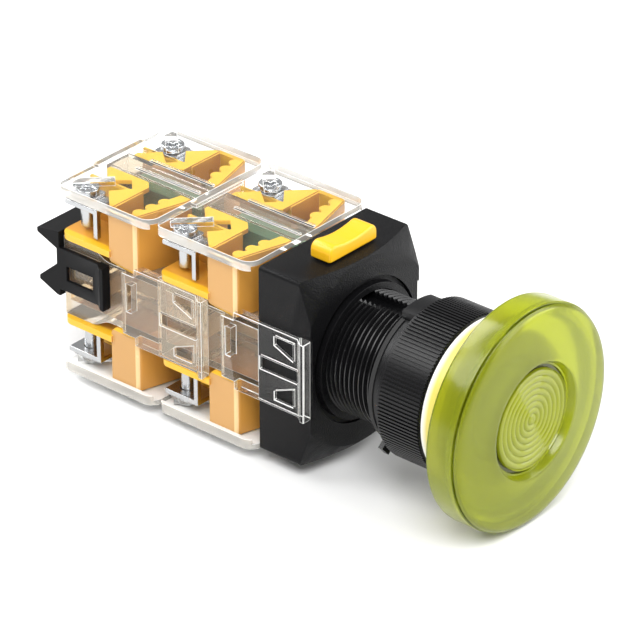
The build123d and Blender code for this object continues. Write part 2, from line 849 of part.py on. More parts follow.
def make_cover(name, start, side):
    """Clear cover with skirts, rails, a back ridge and two screwdriver wells."""
    low = tower_half_height
    high = low + cover_thickness
    end = start + block_length
    upright = sorted((side * low, side * high))
    skirt = sorted((side * (low - cover_skirt_height), side * high))
    well = sorted((side * (low - well_depth), side * high))
    with BuildPart() as cover:
        block_of((-cover_half_width, cover_half_width), (start, end), upright)
        for hand in (1, -1):
            block_of(
                sorted((hand * (cover_half_width - cover_skirt_width), hand * cover_half_width)),
                (start, end),
                skirt,
            )
        ridge = sorted((side * low, side * (high + cover_ridge_height)))
        for hand in (1, -1):
            block_of(
                sorted((hand * (tower_half_width + cover_rib_gap), hand * cover_half_width)),
                (end - cover_ridge_depth, end),
                ridge,
            )
        for hand in (1, -1):
            block_of(
                sorted((hand * (screw_x - well_size / 2 - well_wall), hand * (screw_x + well_size / 2 + well_wall))),
                (start + screw_y - well_size / 2 - well_wall, start + screw_y + well_size / 2 + well_wall),
                well,
            )
            block_of(
                sorted((hand * (screw_x - well_size / 2), hand * (screw_x + well_size / 2))),
                (start + screw_y - well_size / 2, start + screw_y + well_size / 2),
                (well[0] - 1, well[1] + 1),
                Mode.SUBTRACT,
            )
            rail_middle = hand * rail_spacing / 2
            block_of(
                (rail_middle - rail_width / 2, rail_middle + rail_width / 2),
                (start + cover_rib_gap, start + rail_length),
                sorted((side * (high - 0.01), side * (high + cover_ridge_height))),
            )
        corners = cover.edges().filter_by(Axis.Z).filter_by(lambda e: abs(e.center().X) > cover_half_width - 0.01)
        fillet(corners.group_by(Axis.Y)[-1], cover_back_corner_radius * 0.3)
        chamfer(corners.group_by(Axis.Y)[0], cover_front_corner_chamfer * 0.6)
    finish(cover, f"{name}_{'top' if side > 0 else 'bottom'}_cover")


def shroud_quarter(start):
    """One moulded shroud in the +X +Z corner: open cup, toothed band, top plate and terminal bay."""
    front = start + shroud_start
    bay = front + shroud_side_length
    end = front + shroud_length
    shelf_low = block_shelf_height + shroud_floor_lift
    shelf_top = shelf_low + shelf_thickness
    inner_outer = shroud_inner_wall_x + shroud_wall
    plate_low = shroud_top_z - shroud_wall
    with BuildPart() as quarter:
        with BuildSketch(Plane.YZ.offset(shroud_inner_wall_x)):
            with Locations(((front + bay) / 2, (shroud_low_z + shroud_top_z) / 2)):
                Rectangle(bay - front, shroud_top_z - shroud_low_z)
        extrude(amount=shroud_outer_x - shroud_inner_wall_x)
        low_back = quarter.edges().filter_by(Axis.X).sort_by(Axis.Z)[:2].sort_by(Axis.Y)[-1]
        fillet(low_back, shelf_thickness)
        outer_front = quarter.edges().filter_by(Axis.Z).sort_by(Axis.X)[-2:].sort_by(Axis.Y)[0]
        fillet(outer_front, shroud_wall)
        # pocket, open at the top
        with BuildSketch(Plane.XY.offset(pocket_floor_z)):
            with Locations(((inner_outer + shroud_outer_x - rim_wall) / 2, (front + bay) / 2)):
                RectangleRounded(
                    shroud_outer_x - rim_wall - inner_outer,
                    bay - front - 2 * shroud_wall,
                    rim_wall,
                )
        extrude(amount=shroud_top_z, mode=Mode.SUBTRACT)
        # shelf and inner walls around the terminal bay and beside the tower
        block_of((top_plate_inner_x, shelf_outer_x), (bay - shroud_wall, end), (shelf_low, shelf_top))
        block_of((shroud_inner_wall_x, inner_outer), (bay - shroud_wall, end), (shelf_low, shroud_top_z))
        block_of(
            (top_plate_inner_x, top_plate_inner_x + shroud_wall),
            (start + inner_wall_start, front),
            (shelf_top, shroud_top_z),
        )
        # band in front of the cup, with teeth along its back edge, and the top plate behind
        block_of(
            (top_plate_inner_x, shroud_outer_x - rim_wall),
            (start + band_start, front + shroud_wall),
            (plate_low, shroud_top_z),
        )
        for tooth in range(tooth_count):
            tooth_x = top_plate_inner_x + (2 * tooth + 0.5) * tooth_width
            block_of(
                (tooth_x, tooth_x + tooth_width),
                (front, front + shroud_wall + tooth_depth),
                (plate_low, shroud_top_z),
            )
        block_of(
            (top_plate_inner_x, shroud_inner_wall_x),
            (front, front + shroud_wall),
            (shelf_top, shroud_top_z),
        )
        block_of((top_plate_inner_x, top_plate_outer_x), (bay - shroud_wall, end), (plate_low, shroud_top_z))
        block_of(
            (top_plate_inner_x, shroud_outer_x - rim_wall),
            (bay - shroud_wall, start + screw_y - well_size / 2 - well_wall - cover_rib_gap),
            (plate_low, shroud_top_z),
        )
        outer_back = quarter.edges().filter_by(Axis.Z).group_by(Axis.Y)[-1].sort_by(Axis.X)[-1]
        fillet(outer_back, shelf_corner_radius)
        with BuildSketch(Plane.XY.offset(shroud_top_z)):
            with Locations((probe_hole_x, start + probe_hole_y)):
                Circle(probe_hole_radius)
        extrude(amount=-shroud_wall - 1, mode=Mode.SUBTRACT)
        # slots for the terminal plate's link and tongue
        gap = tongue_slot_clearance
        block_of(
            (link_x - gap, link_x + plate_thickness + gap),
            (bay - shroud_wall - 1, bay + 1),
            (link_low_z - gap, link_high_z + gap),
            Mode.SUBTRACT,
        )
        block_of(
            (shroud_inner_wall_x - 1, inner_outer + 1),
            (start + tongue_y - gap, start + tongue_y + plate_thickness + gap),
            (link_low_z - gap, link_high_z + gap),
            Mode.SUBTRACT,
        )
    return quarter.part


def terminal_quarter(start):
    """Bent terminal plate: pad under the screw, leg, link and the fixed contact's tongue."""
    half = plate_width / 2
    pad_back = start + screw_y + half
    link_back = start + leg_y + plate_thickness
    with BuildPart() as plate:
        block_of(
            (screw_x - half, screw_x + half),
            (start + leg_y, pad_back),
            (plate_z, plate_top),
        )
        block_of(
            (link_x, screw_x + half),
            (start + leg_y, link_back),
            (leg_low_z, plate_top),
        )
        block_of(
            (link_x, link_x + plate_thickness),
            (start + tongue_y, link_back),
            (link_low_z, link_high_z),
        )
        block_of(
            (tongue_inner_x, link_x + plate_thickness),
            (start + tongue_y, start + tongue_y + plate_thickness),
            (link_low_z, link_high_z),
        )
        with BuildSketch(Plane.XY.offset(plate_top)):
            with Locations((screw_x, start + screw_y)):
                Circle(screw_shaft_radius + plate_hole_clearance)
        extrude(amount=-plate_thickness, mode=Mode.SUBTRACT)
    return plate.part


def screw_quarter(start):
    """Clamp screw with a cross recess and a rounded tip."""
    with BuildPart() as screw:
        with BuildSketch(Plane.XY.offset(head_z)):
            with Locations((screw_x, start + screw_y)):
                Circle(screw_head_radius)
        extrude(amount=screw_head_height)
        chamfer(screw.edges().group_by(Axis.Z)[-1], screw_recess_width / 2)
        with BuildSketch(Plane.XY.offset(head_z)):
            with Locations((screw_x, start + screw_y)):
                Circle(screw_shaft_radius)
        extrude(amount=screw_tip_z - head_z)
        fillet(screw.edges().group_by(Axis.Z)[0], screw_recess_width)
        with BuildSketch(Plane.XY.offset(head_z + screw_head_height)):
            with Locations((screw_x, start + screw_y)):
                Rectangle(screw_recess_length, screw_recess_width)
                Rectangle(screw_recess_width, screw_recess_length)
        extrude(amount=-screw_recess_depth, mode=Mode.SUBTRACT)
    return screw.part


def saddle_quarter(start):
    """Square clamp washer with two turned-down lips that hold the wire."""
    half = saddle_size / 2
    middle = start + screw_y
    with BuildPart() as saddle:
        block_of(
            (screw_x - half, screw_x + half),
            (middle - half, middle + half),
            (saddle_z, saddle_z + saddle_thickness),
        )
        fillet(saddle.edges().filter_by(Axis.Z), screw_recess_width)
        with BuildSketch(Plane.XY.offset(saddle_z)):
            with Locations((screw_x, middle)):
                Circle(screw_shaft_radius + plate_hole_clearance)
        extrude(amount=saddle_thickness, mode=Mode.SUBTRACT)
    return saddle.part


def four_corners(make_quarter, start, name):
    """The same moulding or pressing at all four corners of a block, mirrored about both planes."""
    with BuildPart() as group:
        add(make_quarter(start))
        mirror(about=Plane.YZ)
        mirror(about=Plane.XY)
    finish(group, name)


def make_actuator(name, start):
    """Green sliding frame with feet in front, spring arms and two windows for the bridges."""
    window_half = bridge_height / 2
    window_front = start + bridge_y
    with BuildPart() as actuator:
        block_of(
            (-actuator_half_width, actuator_half_width),
            (start + actuator_start, start + actuator_end),
            (-actuator_half_height, actuator_half_height),
        )
        with BuildSketch(section(start + actuator_start)):
            with GridLocations(1, 2 * foot_z, 1, 2):
                Rectangle(foot_width, foot_height)
        extrude(amount=actuator_start + foot_reach)
        block_of(
            (-arm_reach, arm_reach),
            (start + arm_y, start + arm_y + arm_depth),
            (-arm_half_height, arm_half_height),
        )
        for side in (1, -1):
            low = side * (bridge_z - window_half)
            high = side * (bridge_z + window_half)
            block_of(
                (-actuator_half_width - 1, actuator_half_width + 1),
                (window_front, window_front + bridge_thickness + bridge_window_length),
                sorted((low, high)),
                Mode.SUBTRACT,
            )
    finish(actuator, f"{name}_actuator")


def make_bridges(name, start):
    """Moving contact strips with a round tip at each end, and the springs behind them."""
    front = start + bridge_y
    with BuildPart() as bridges:
        for side in (1, -1):
            middle = side * bridge_z
            block_of(
                (-bridge_half_length, bridge_half_length),
                (front, front + bridge_thickness),
                (middle - bridge_height / 2, middle + bridge_height / 2),
            )
            with BuildSketch(section(front)):
                with Locations((bridge_half_length - 1, middle), (1 - bridge_half_length, middle)):
                    Circle(contact_tip_radius)
            extrude(amount=contact_tip_height)
    finish(bridges, f"{name}_contact_bridges")
    with BuildPart() as springs:
        coil(
            [(0, bridge_z), (0, -bridge_z)],
            front + bridge_thickness,
            front + bridge_thickness + bridge_window_length,
            contact_spring_radius - contact_spring_wire,
            contact_spring_wire,
            contact_spring_turns,
        )
    finish(springs, f"{name}_contact_springs")


def make_side_springs(name, start):
    """Return springs between the actuator's arms and the block's back wall."""
    with BuildPart() as springs:
        coil(
            [(side_spring_x, 0), (-side_spring_x, 0)],
            start + arm_y + arm_depth + seat_clearance,
            start + block_length - block_end_wall - seat_clearance,
            side_spring_radius - side_spring_wire,
            side_spring_wire,
            side_spring_turns,
        )
    finish(springs, f"{name}_return_springs")


def make_end_clip():
    """Black clip behind the last block: finned back and two hooks with a window each."""
    back = stack_end - block_gap + clip_gap
    web = back + clip_web
    with BuildPart() as clip:
        with BuildSketch(Plane.YZ):
            with BuildLine():
                Polyline(
                    (back, clip_top_z),
                    (back + clip_upper_reach, clip_tip_top_z),
                    (back + clip_upper_reach, clip_tip_low_z),
                    (web, clip_notch_top_z),
                    (web, clip_notch_low_z),
                    (back + clip_lower_reach, clip_low_tip_top_z),
                    (back + clip_lower_reach, clip_low_tip_low_z),
                    (web, clip_low_z),
                    (back, clip_low_z),
                    close=True,
                )
            make_face()
        extrude(amount=hook_outer_x, both=True)
        for side in (1, -1):
            plate = sorted((side * hook_inner_x, side * hook_outer_x))
            block_of(plate, (stack_end - hook_reach, web), (clip_hook_low_z, clip_hook_high_z))
        add_hook_bars(stack_end, clip_hook_low_z, clip_hook_high_z)
        block_of(
            (-hook_outer_x - 1, hook_outer_x + 1),
            (stack_end - hook_reach + clip_window_start, stack_end - hook_reach + clip_window_end),
            (clip_window_low_z, clip_window_high_z),
            Mode.SUBTRACT,
        )
    finish(clip, "end_clip")


os.makedirs("parts", exist_ok=True)
make_housing()
make_barrel()
make_nut()
make_washer()
make_gasket()
make_diffuser()
make_cap()
make_plunger()
make_lamp()
make_lever()
make_bayonet_ring()
for block_name, block_start in block_starts.items():
    make_block_body(block_name, block_start)
    make_cover(block_name, block_start, 1)
    make_cover(block_name, block_start, -1)
    four_corners(shroud_quarter, block_start, f"{block_name}_terminal_shrouds")
    four_corners(terminal_quarter, block_start, f"{block_name}_terminal_plates")
    four_corners(screw_quarter, block_start, f"{block_name}_clamp_screws")
    four_corners(saddle_quarter, block_start, f"{block_name}_saddle_washers")
    make_actuator(block_name, block_start)
    make_bridges(block_name, block_start)
    make_side_springs(block_name, block_start)
make_end_clip()
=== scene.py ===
"""Emergency stop switch: finishes, and the finer forms of its head, base and contact blocks."""

import json
from math import cos, pi, radians, sin, sqrt, tan

import bpy
from mathutils import Matrix, Vector

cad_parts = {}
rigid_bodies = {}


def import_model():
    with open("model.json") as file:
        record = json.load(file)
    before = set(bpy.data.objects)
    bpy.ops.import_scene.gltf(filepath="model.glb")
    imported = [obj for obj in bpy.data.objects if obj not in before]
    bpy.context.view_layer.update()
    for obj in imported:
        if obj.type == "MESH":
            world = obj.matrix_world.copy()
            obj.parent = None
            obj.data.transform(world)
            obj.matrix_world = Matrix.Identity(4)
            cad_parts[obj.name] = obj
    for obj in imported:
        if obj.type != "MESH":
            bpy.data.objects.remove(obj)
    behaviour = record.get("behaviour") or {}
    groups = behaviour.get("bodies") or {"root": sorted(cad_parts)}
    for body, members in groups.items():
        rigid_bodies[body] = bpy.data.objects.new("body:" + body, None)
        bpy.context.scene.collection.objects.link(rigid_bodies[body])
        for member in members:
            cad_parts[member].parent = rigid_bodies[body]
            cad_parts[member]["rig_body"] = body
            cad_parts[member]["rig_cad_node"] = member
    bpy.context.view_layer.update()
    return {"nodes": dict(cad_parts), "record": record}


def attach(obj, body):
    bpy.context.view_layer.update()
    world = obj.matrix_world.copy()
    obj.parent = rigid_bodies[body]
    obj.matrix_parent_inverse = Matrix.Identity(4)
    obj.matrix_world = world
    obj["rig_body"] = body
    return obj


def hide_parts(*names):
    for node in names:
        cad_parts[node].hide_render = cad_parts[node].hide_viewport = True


MM = 0.001
LIGHT_BOUNCES = 24
CLEAR_BOUNCES = 32

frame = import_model()
nodes = frame["nodes"]
scene = bpy.context.scene
scene.view_settings.view_transform = "Standard"
scene.view_settings.look = "None"
scene.cycles.max_bounces = LIGHT_BOUNCES
scene.cycles.transmission_bounces = LIGHT_BOUNCES
scene.cycles.transparent_max_bounces = CLEAR_BOUNCES

# Camera, at the photograph's viewing angle; lengths in mm
AZIMUTH = radians(-49.334)
ELEVATION = radians(28.824)
STEP_RIGHT, STEP_UP, DISTANCE = -5.52, 8.932, 720.08
AIMED_AT = Vector((0, 2.75, 0))
FOCAL_LENGTH = 241.7
SENSOR_WIDTH = 36
SHIFT_UP = -0.0454


def place_camera():
    right = Vector((cos(AZIMUTH), sin(AZIMUTH), 0))
    back = Vector((sin(AZIMUTH) * cos(ELEVATION), -cos(AZIMUTH) * cos(ELEVATION), sin(ELEVATION)))
    up = back.cross(right)
    place = STEP_RIGHT * right + STEP_UP * up + DISTANCE * back + AIMED_AT
    bpy.ops.object.camera_add(location=place * MM)
    camera = bpy.context.object
    camera.name = "camera"
    turn = Matrix((right, up, back)).transposed().to_4x4()
    camera.matrix_world = Matrix.Translation(place * MM) @ turn
    camera.data.lens = FOCAL_LENGTH
    camera.data.sensor_width = SENSOR_WIDTH
    camera.data.shift_y = SHIFT_UP
    camera.data.dof.use_dof = False
    scene.camera = camera


place_camera()


# Finishes
def shader_of(material):
    return material.node_tree.nodes["Principled BSDF"]


def new_material(name, color, roughness, metallic=0.0):
    material = bpy.data.materials.new(name)
    material.use_nodes = True
    shader = shader_of(material)
    shader.inputs["Base Color"].default_value = (*color, 1)
    shader.inputs["Roughness"].default_value = roughness
    shader.inputs["Metallic"].default_value = metallic
    return material


def new_group(name, inputs, outputs):
    """An empty shared effect with its sockets, each given as a name and a kind."""
    group = bpy.data.node_groups.new(name, "ShaderNodeTree")
    for side, sockets in (("INPUT", inputs), ("OUTPUT", outputs)):
        for socket, kind in sockets:
            group.interface.new_socket(socket, in_out=side, socket_type=f"NodeSocket{kind}")
    return group


def calculation(tree, operation):
    step = tree.nodes.new("ShaderNodeMath")
    step.operation = operation
    return step


GRAIN_DETAIL = 3.0
CLOUD_DETAIL = 2.0
NOISE_MIDDLE = 0.5


def grain_group():
    """Moulded grain: a small change of colour, a change of gloss and a height for the bump."""
    group = new_group("moulded grain", (
        ("Color", "Color"), ("Roughness", "Float"), ("Grain Scale", "Float"), ("Cloud Scale", "Float"),
        ("Tint", "Float"), ("Gloss Change", "Float")),
        (("Color", "Color"), ("Roughness", "Float"), ("Height", "Float")))
    make = group.nodes.new
    link = group.links.new
    given = make("NodeGroupInput")
    out = make("NodeGroupOutput")
    place = make("ShaderNodeTexCoord")
    grain = make("ShaderNodeTexNoise")
    grain.inputs["Detail"].default_value = GRAIN_DETAIL
    cloud = make("ShaderNodeTexNoise")
    cloud.inputs["Detail"].default_value = CLOUD_DETAIL
    link(place.outputs["Object"], grain.inputs["Vector"])
    link(place.outputs["Object"], cloud.inputs["Vector"])
    link(given.outputs["Grain Scale"], grain.inputs["Scale"])
    link(given.outputs["Cloud Scale"], cloud.inputs["Scale"])
    centred = calculation(group, "SUBTRACT")
    centred.inputs[1].default_value = NOISE_MIDDLE
    link(cloud.outputs["Fac"], centred.inputs[0])
    shade = calculation(group, "MULTIPLY_ADD")
    shade.inputs[2].default_value = 1.0
    link(centred.outputs[0], shade.inputs[0])
    link(given.outputs["Tint"], shade.inputs[1])
    tint = make("ShaderNodeVectorMath")
    tint.operation = "SCALE"
    link(given.outputs["Color"], tint.inputs[0])
    link(shade.outputs[0], tint.inputs["Scale"])
    gloss = calculation(group, "MULTIPLY_ADD")
    link(centred.outputs[0], gloss.inputs[0])
    link(given.outputs["Gloss Change"], gloss.inputs[1])
    link(given.outputs["Roughness"], gloss.inputs[2])
    link(tint.outputs[0], out.inputs["Color"])
    link(gloss.outputs[0], out.inputs["Roughness"])
    link(grain.outputs["Fac"], out.inputs["Height"])
    return group


GRAIN = grain_group()


def moulded(name, color, roughness, grain=2500.0, cloud=120.0, tint=0.2, gloss=0.15, bump=0.1,
            depth=0.05, metallic=0.0, transmission=0.0, ior=1.5, coat=0.0, specular=0.5):
    """Plain finish with the shared grain over it; the bump's depth is in mm."""
    material = new_material(name, color, roughness, metallic)
    shader = shader_of(material)
    tree = material.node_tree
    effect = tree.nodes.new("ShaderNodeGroup")
    effect.node_tree = GRAIN
    effect.inputs["Color"].default_value = (*color, 1)
    effect.inputs["Roughness"].default_value = roughness
    effect.inputs["Grain Scale"].default_value = grain
    effect.inputs["Cloud Scale"].default_value = cloud
    effect.inputs["Tint"].default_value = tint
    effect.inputs["Gloss Change"].default_value = gloss
    raised = tree.nodes.new("ShaderNodeBump")
    raised.inputs["Strength"].default_value = bump
    raised.inputs["Distance"].default_value = depth * MM
    link = tree.links.new
    link(effect.outputs["Color"], shader.inputs["Base Color"])
    link(effect.outputs["Roughness"], shader.inputs["Roughness"])
    link(effect.outputs["Height"], raised.inputs["Height"])
    link(raised.outputs["Normal"], shader.inputs["Normal"])
    shader.inputs["Transmission Weight"].default_value = transmission
    shader.inputs["IOR"].default_value = ior
    shader.inputs["Coat Weight"].default_value = coat
    shader.inputs["Specular IOR Level"].default_value = specular
    return material


JET = (0.004, 0.004, 0.0045)
GREY = (0.50, 0.51, 0.52)
CAP = moulded("lime cap", (0.41, 0.46, 0.006), 0.2, grain=900, bump=0.03, transmission=0.72, ior=1.42,
              specular=0.35)
LENS = moulded("ripple lens", (0.36, 0.40, 0.02), 0.12, grain=900, bump=0.02, transmission=0.4, ior=1.45)
WHITE = moulded("white diffuser", (0.78, 0.77, 0.72), 0.35, tint=0.05)
HOUSING = moulded("grained black", JET, 0.34, grain=4000, bump=1.0, depth=0.1, specular=0.13)
NUT = moulded("satin black", JET, 0.3, grain=6000, bump=0.4, specular=0.3)
BARREL = moulded("thread black", JET, 0.25, bump=0.08, specular=0.45)
RUBBER = moulded("gasket rubber", (0.015, 0.015, 0.015), 0.75, bump=0.2)
LEVER = moulded("lever yellow", (0.80, 0.44, 0.008), 0.35, tint=0.08)
GREEN = moulded("actuator green", (0.14, 0.34, 0.25), 0.35)
# Beige tone: a slight tint of the clear plastic, deepened with painted warm light from the yellow shrouds
# inside
CLEAR = moulded("clear body", (0.97, 0.89, 0.76), 0.05, grain=600, tint=0.03, gloss=0.04, bump=0.02,
                transmission=0.9, ior=1.15, coat=0.7)
COVER = moulded("clear cover", (0.955, 0.965, 0.97), 0.03, grain=600, tint=0.02, gloss=0.02, bump=0.02,
                transmission=1.0, ior=1.15, coat=0.4)
# Painted light: a paler, milkier copy of the cover for the cover underneath, to lift it out of its shade
LIGHTENED_LOW_COVER = moulded("lightened milky cover", (0.98, 0.98, 0.96), 0.15, grain=600, tint=0.03, gloss=0.03, bump=0.02,
                    transmission=0.25, ior=1.3, coat=1.0)
# Painted highlight: a whitish, less clear copy of the clear plastic for the covers' upright edges
EDGE = moulded("cover edge highlight", (0.93, 0.90, 0.84), 0.2, grain=600, tint=0.05, bump=0.02,
               transmission=0.7, ior=1.2, coat=0.6)
HOOK = moulded("clear hook", (0.97, 0.97, 0.96), 0.03, grain=600, tint=0.02, gloss=0.02, bump=0.02,
               transmission=1.0, ior=1.12, coat=0.2)
CLIP = moulded("clip black", JET, 0.45, grain=4000, bump=0.2, specular=0.12)
# Painted highlight: a whitish, nearly opaque copy of the clear plastic for the rounded edges of the covers
# and the clear bodies
RIM_HIGHLIGHT = moulded("clear rim highlight", (0.88, 0.88, 0.86), 0.12, grain=600, tint=0.05, bump=0.02,
              transmission=0.1, ior=1.3, coat=1.0)
STEEL = moulded("plated steel", GREY, 0.25, tint=0.15, metallic=1.0)
SPRING = moulded("spring steel", (0.50, 0.50, 0.48), 0.25, tint=0.1, metallic=1.0)
BRASS = moulded("contact brass", (0.70, 0.52, 0.24), 0.3, tint=0.15, metallic=1.0)
IVORY = moulded("ivory inner", (0.62, 0.60, 0.50), 0.5)
LAMP = moulded("lamp frosted", (0.85, 0.82, 0.62), 0.3, tint=0.05)
SHROUD = moulded("shroud yellow", (0.80, 0.45, 0.02), 0.33, tint=0.1)
# Lit and shaded copies of the shrouds' colour for the cup walls: a paler lit tone for the sides, painted
# shade for the slanted fronts and a painted highlight for the rounded corners
SIDE_LIT_TONE = moulded("cup side lit tone", (0.57, 0.31, 0.10), 0.3, tint=0.1)
FRONT_SHADE = moulded("cup front shade", (0.60, 0.28, 0.05), 0.3, tint=0.1)
CORNER_HIGHLIGHT = moulded("cup corner highlight", (0.86, 0.58, 0.28), 0.25, tint=0.1)
PLATE = moulded("plated strip", GREY, 0.25, tint=0.15, metallic=1.0)


def zone_group():
    """Mask that rises from 0 to 1 between two distances from the middle plane across one axis."""
    group = new_group(
        "zone", (("Axis", "Vector"), ("Start", "Float"), ("End", "Float")), (("Mask", "Float"),))
    make = group.nodes.new
    link = group.links.new
    given = make("NodeGroupInput")
    out = make("NodeGroupOutput")
    place = make("ShaderNodeTexCoord")
    along = make("ShaderNodeVectorMath")
    along.operation = "DOT_PRODUCT"
    link(place.outputs["Object"], along.inputs[0])
    link(given.outputs["Axis"], along.inputs[1])
    distance = calculation(group, "ABSOLUTE")
    link(along.outputs["Value"], distance.inputs[0])
    ramp = make("ShaderNodeMapRange")
    link(distance.outputs[0], ramp.inputs["Value"])
    link(given.outputs["Start"], ramp.inputs["From Min"])
    link(given.outputs["End"], ramp.inputs["From Max"])
    link(ramp.outputs["Result"], out.inputs["Mask"])
    return group


ZONE = zone_group()
AXES = {"X": (1, 0, 0), "Y": (0, 1, 0), "Z": (0, 0, 1)}
# Numbers of the sockets of a mix of two colours
MIX_FACTOR, MIX_FROM, MIX_TO, MIX_RESULT = 0, 6, 7, 2


def paint_light_and_shade(material, *zones):
    """Paint light and shade into a finish's colour zone by zone; a zone is a colour, its strength and its
    limits in mm.
    """
    shader = shader_of(material)
    tree = material.node_tree
    make = tree.nodes.new
    link = tree.links.new
    tone = shader.inputs["Base Color"].links[0].from_socket
    for color, strength, *limits in zones:
        mask = None
        for axis, start, end in limits:
            zone = make("ShaderNodeGroup")
            zone.node_tree = ZONE
            zone.inputs["Axis"].default_value = AXES[axis]
            zone.inputs["Start"].default_value = start * MM
            zone.inputs["End"].default_value = end * MM
            both = calculation(tree, "MULTIPLY")
            both.inputs[1].default_value = strength
            link(zone.outputs["Mask"], both.inputs[0])
            if mask:
                link(mask, both.inputs[1])
            mask = both.outputs[0]
        mix = make("ShaderNodeMix")
        mix.data_type = "RGBA"
        link(mask, mix.inputs[MIX_FACTOR])
        link(tone, mix.inputs[MIX_FROM])
        mix.inputs[MIX_TO].default_value = (*color, 1)
        tone = mix.outputs[MIX_RESULT]
    link(tone, shader.inputs["Base Color"])


# Painted shade that darkens the shrouds' pocket floors, and painted light that brightens their tops under
# the covers
paint_light_and_shade(SHROUD,
       ((0.50, 0.17, 0.04), 0.6, ("Z", 15.2, 13.0), ("X", 13.4, 12.9)),
       ((1.0, 0.60, 0.06), 1.0, ("Z", 15.9, 16.1), ("X", 13.4, 12.9)))
# Warm light that the shrouds throw on the clear bodies, the slides and the plates' inner legs
paint_light_and_shade(CLEAR, ((0.88, 0.66, 0.38), 1.0, ("X", 13.5, 13.2), ("X", 11.0, 12.0)))
paint_light_and_shade(GREEN, ((0.62, 0.46, 0.28), 1.0, ("Z", 11.0, 9.5)))
paint_light_and_shade(PLATE, ((0.50, 0.24, 0.09), 1.0, ("X", 9.0, 8.6), ("X", 1.0, 3.0)))
# Lime light painted on the diffuser behind the cap, and painted shade on the lens's sunk floor and in the
# cap's groove
paint_light_and_shade(WHITE, ((0.66, 0.56, 0.12), 1.0, ("Y", 23.6, 24.6)))
paint_light_and_shade(LENS, ((0.13, 0.14, 0.01), 1.0, ("Y", 35.2, 35.0)))
paint_light_and_shade(CAP, ((0.10, 0.13, 0.004), 1.0, ("Y", 34.5, 34.6), ("Y", 35.0, 34.9)))

BY_SLOT = {
    "cap_tint": CAP, "lens_tint": LENS, "ring_white": WHITE, "nut_black": NUT, "gasket_rubber": RUBBER,
    "barrel_black": BARREL, "inner_plastic": IVORY, "spring_steel": SPRING, "lamp_glass": LAMP,
    "housing_black": HOUSING, "lever_yellow": LEVER, "clip_black": CLIP, "block_clear": CLEAR,
    "cover_clear": COVER, "shroud_orange": SHROUD, "terminal_steel": STEEL, "actuator_green": GREEN,
    "contact_brass": BRASS,
}
record = frame["record"]
SLOT_OF = {part["node"]: part["material_slot"] for part in record["subparts"]}
BODY_OF = {node: body for body, members in record["behaviour"]["bodies"].items() for node in members}
for node, slot_name in SLOT_OF.items():
    mesh = nodes[node].data
    mesh.materials.clear()
    mesh.materials.append(BY_SLOT[slot_name])

# Modelling helpers. Lengths are in mm. Angles, from which an edge is no longer flat or smooth, are in
# degrees
WELD = 0.002
CAD_WELD = 0.003
FLAT = 0.4
SHARP = 40
TURNED_SMOOTH, FINE_SMOOTH, RIPPLED_SMOOTH = 35, 30, 50
EDGED_SMOOTH, JOINED_SMOOTH = 32, 18


def named(piece, name):
    piece.name = name
    piece.data.name = name
    return piece


def edit():
    bpy.ops.object.mode_set(mode="EDIT")


def leave_edit():
    bpy.ops.object.mode_set(mode="OBJECT")


def nothing_selected():
    if bpy.context.object and bpy.context.object.mode == "EDIT":
        leave_edit()
    bpy.ops.object.select_all(action="DESELECT")


def only(piece):
    """Make one piece the selected and active one."""
    nothing_selected()
    piece.select_set(True)
    bpy.context.view_layer.objects.active = piece


def apply_place():
    bpy.ops.object.transform_apply(location=True, rotation=True, scale=True)


def weld(distance=WELD):
    """Join the corners of the edited mesh that lie in one place, and select all of it."""
    bpy.ops.mesh.select_all(action="SELECT")
    bpy.ops.mesh.remove_doubles(threshold=distance * MM)


def outwards():
    bpy.ops.mesh.select_all(action="SELECT")
    bpy.ops.mesh.normals_make_consistent(inside=False)


def done(piece, body, material, smooth=TURNED_SMOOTH):
    """Finish a piece: place in its mesh, normals outwards, smooth shading, body and finish."""
    only(piece)
    apply_place()
    edit()
    weld()
    outwards()
    leave_edit()
    bpy.ops.object.shade_smooth_by_angle(angle=radians(smooth))
    piece.data.materials.clear()
    piece.data.materials.append(material)
    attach(piece, body)


def turned(name, profile, segments=128):
    """Turn a closed profile of (y, radius) points about the barrel's axis, by pushing out edges."""
    nothing_selected()
    y, radius = profile[0]
    bpy.ops.mesh.primitive_circle_add(
        vertices=segments, radius=radius * MM, fill_type="NOTHING",
        location=(0, y * MM, 0), rotation=(pi / 2, 0, 0))
    piece = named(bpy.context.object, name)
    apply_place()
    edit()
    bpy.ops.mesh.select_all(action="SELECT")
    for next_y, next_radius in profile[1:] + profile[:1]:
        bpy.ops.mesh.extrude_edges_move(TRANSFORM_OT_translate={"value": (0, (next_y - y) * MM, 0)})
        if next_radius != radius:
            ratio = next_radius / radius
            bpy.ops.transform.resize(value=(ratio, 1, ratio), center_override=(0, next_y * MM, 0))
        y, radius = next_y, next_radius
    weld()
    leave_edit()
    return piece


def prism(outline, low, high):
    """Upright block over a plan of (x, y) corners."""
    nothing_selected()
    low, high = sorted((low, high))
    bpy.ops.mesh.primitive_circle_add(vertices=len(outline), radius=MM, fill_type="NGON")
    piece = bpy.context.object
    for vertex, (x, y) in zip(piece.data.vertices, outline):
        vertex.co = Vector((x, y, low)) * MM
    edit()
    bpy.ops.mesh.select_all(action="SELECT")
    bpy.ops.mesh.extrude_region_move(TRANSFORM_OT_translate={"value": (0, 0, (high - low) * MM)})
    outwards()
    leave_edit()
    return piece


def box(x_span, y_span, z_span):
    (x0, x1), (y0, y1) = sorted(x_span), sorted(y_span)
    return prism([(x0, y0), (x1, y0), (x1, y1), (x0, y1)], *z_span)


def disc(x, y, radius, low, high, sides=32):
    turns = [2 * pi * k / sides for k in range(sides)]
    return prism([(x + radius * cos(turn), y + radius * sin(turn)) for turn in turns], low, high)


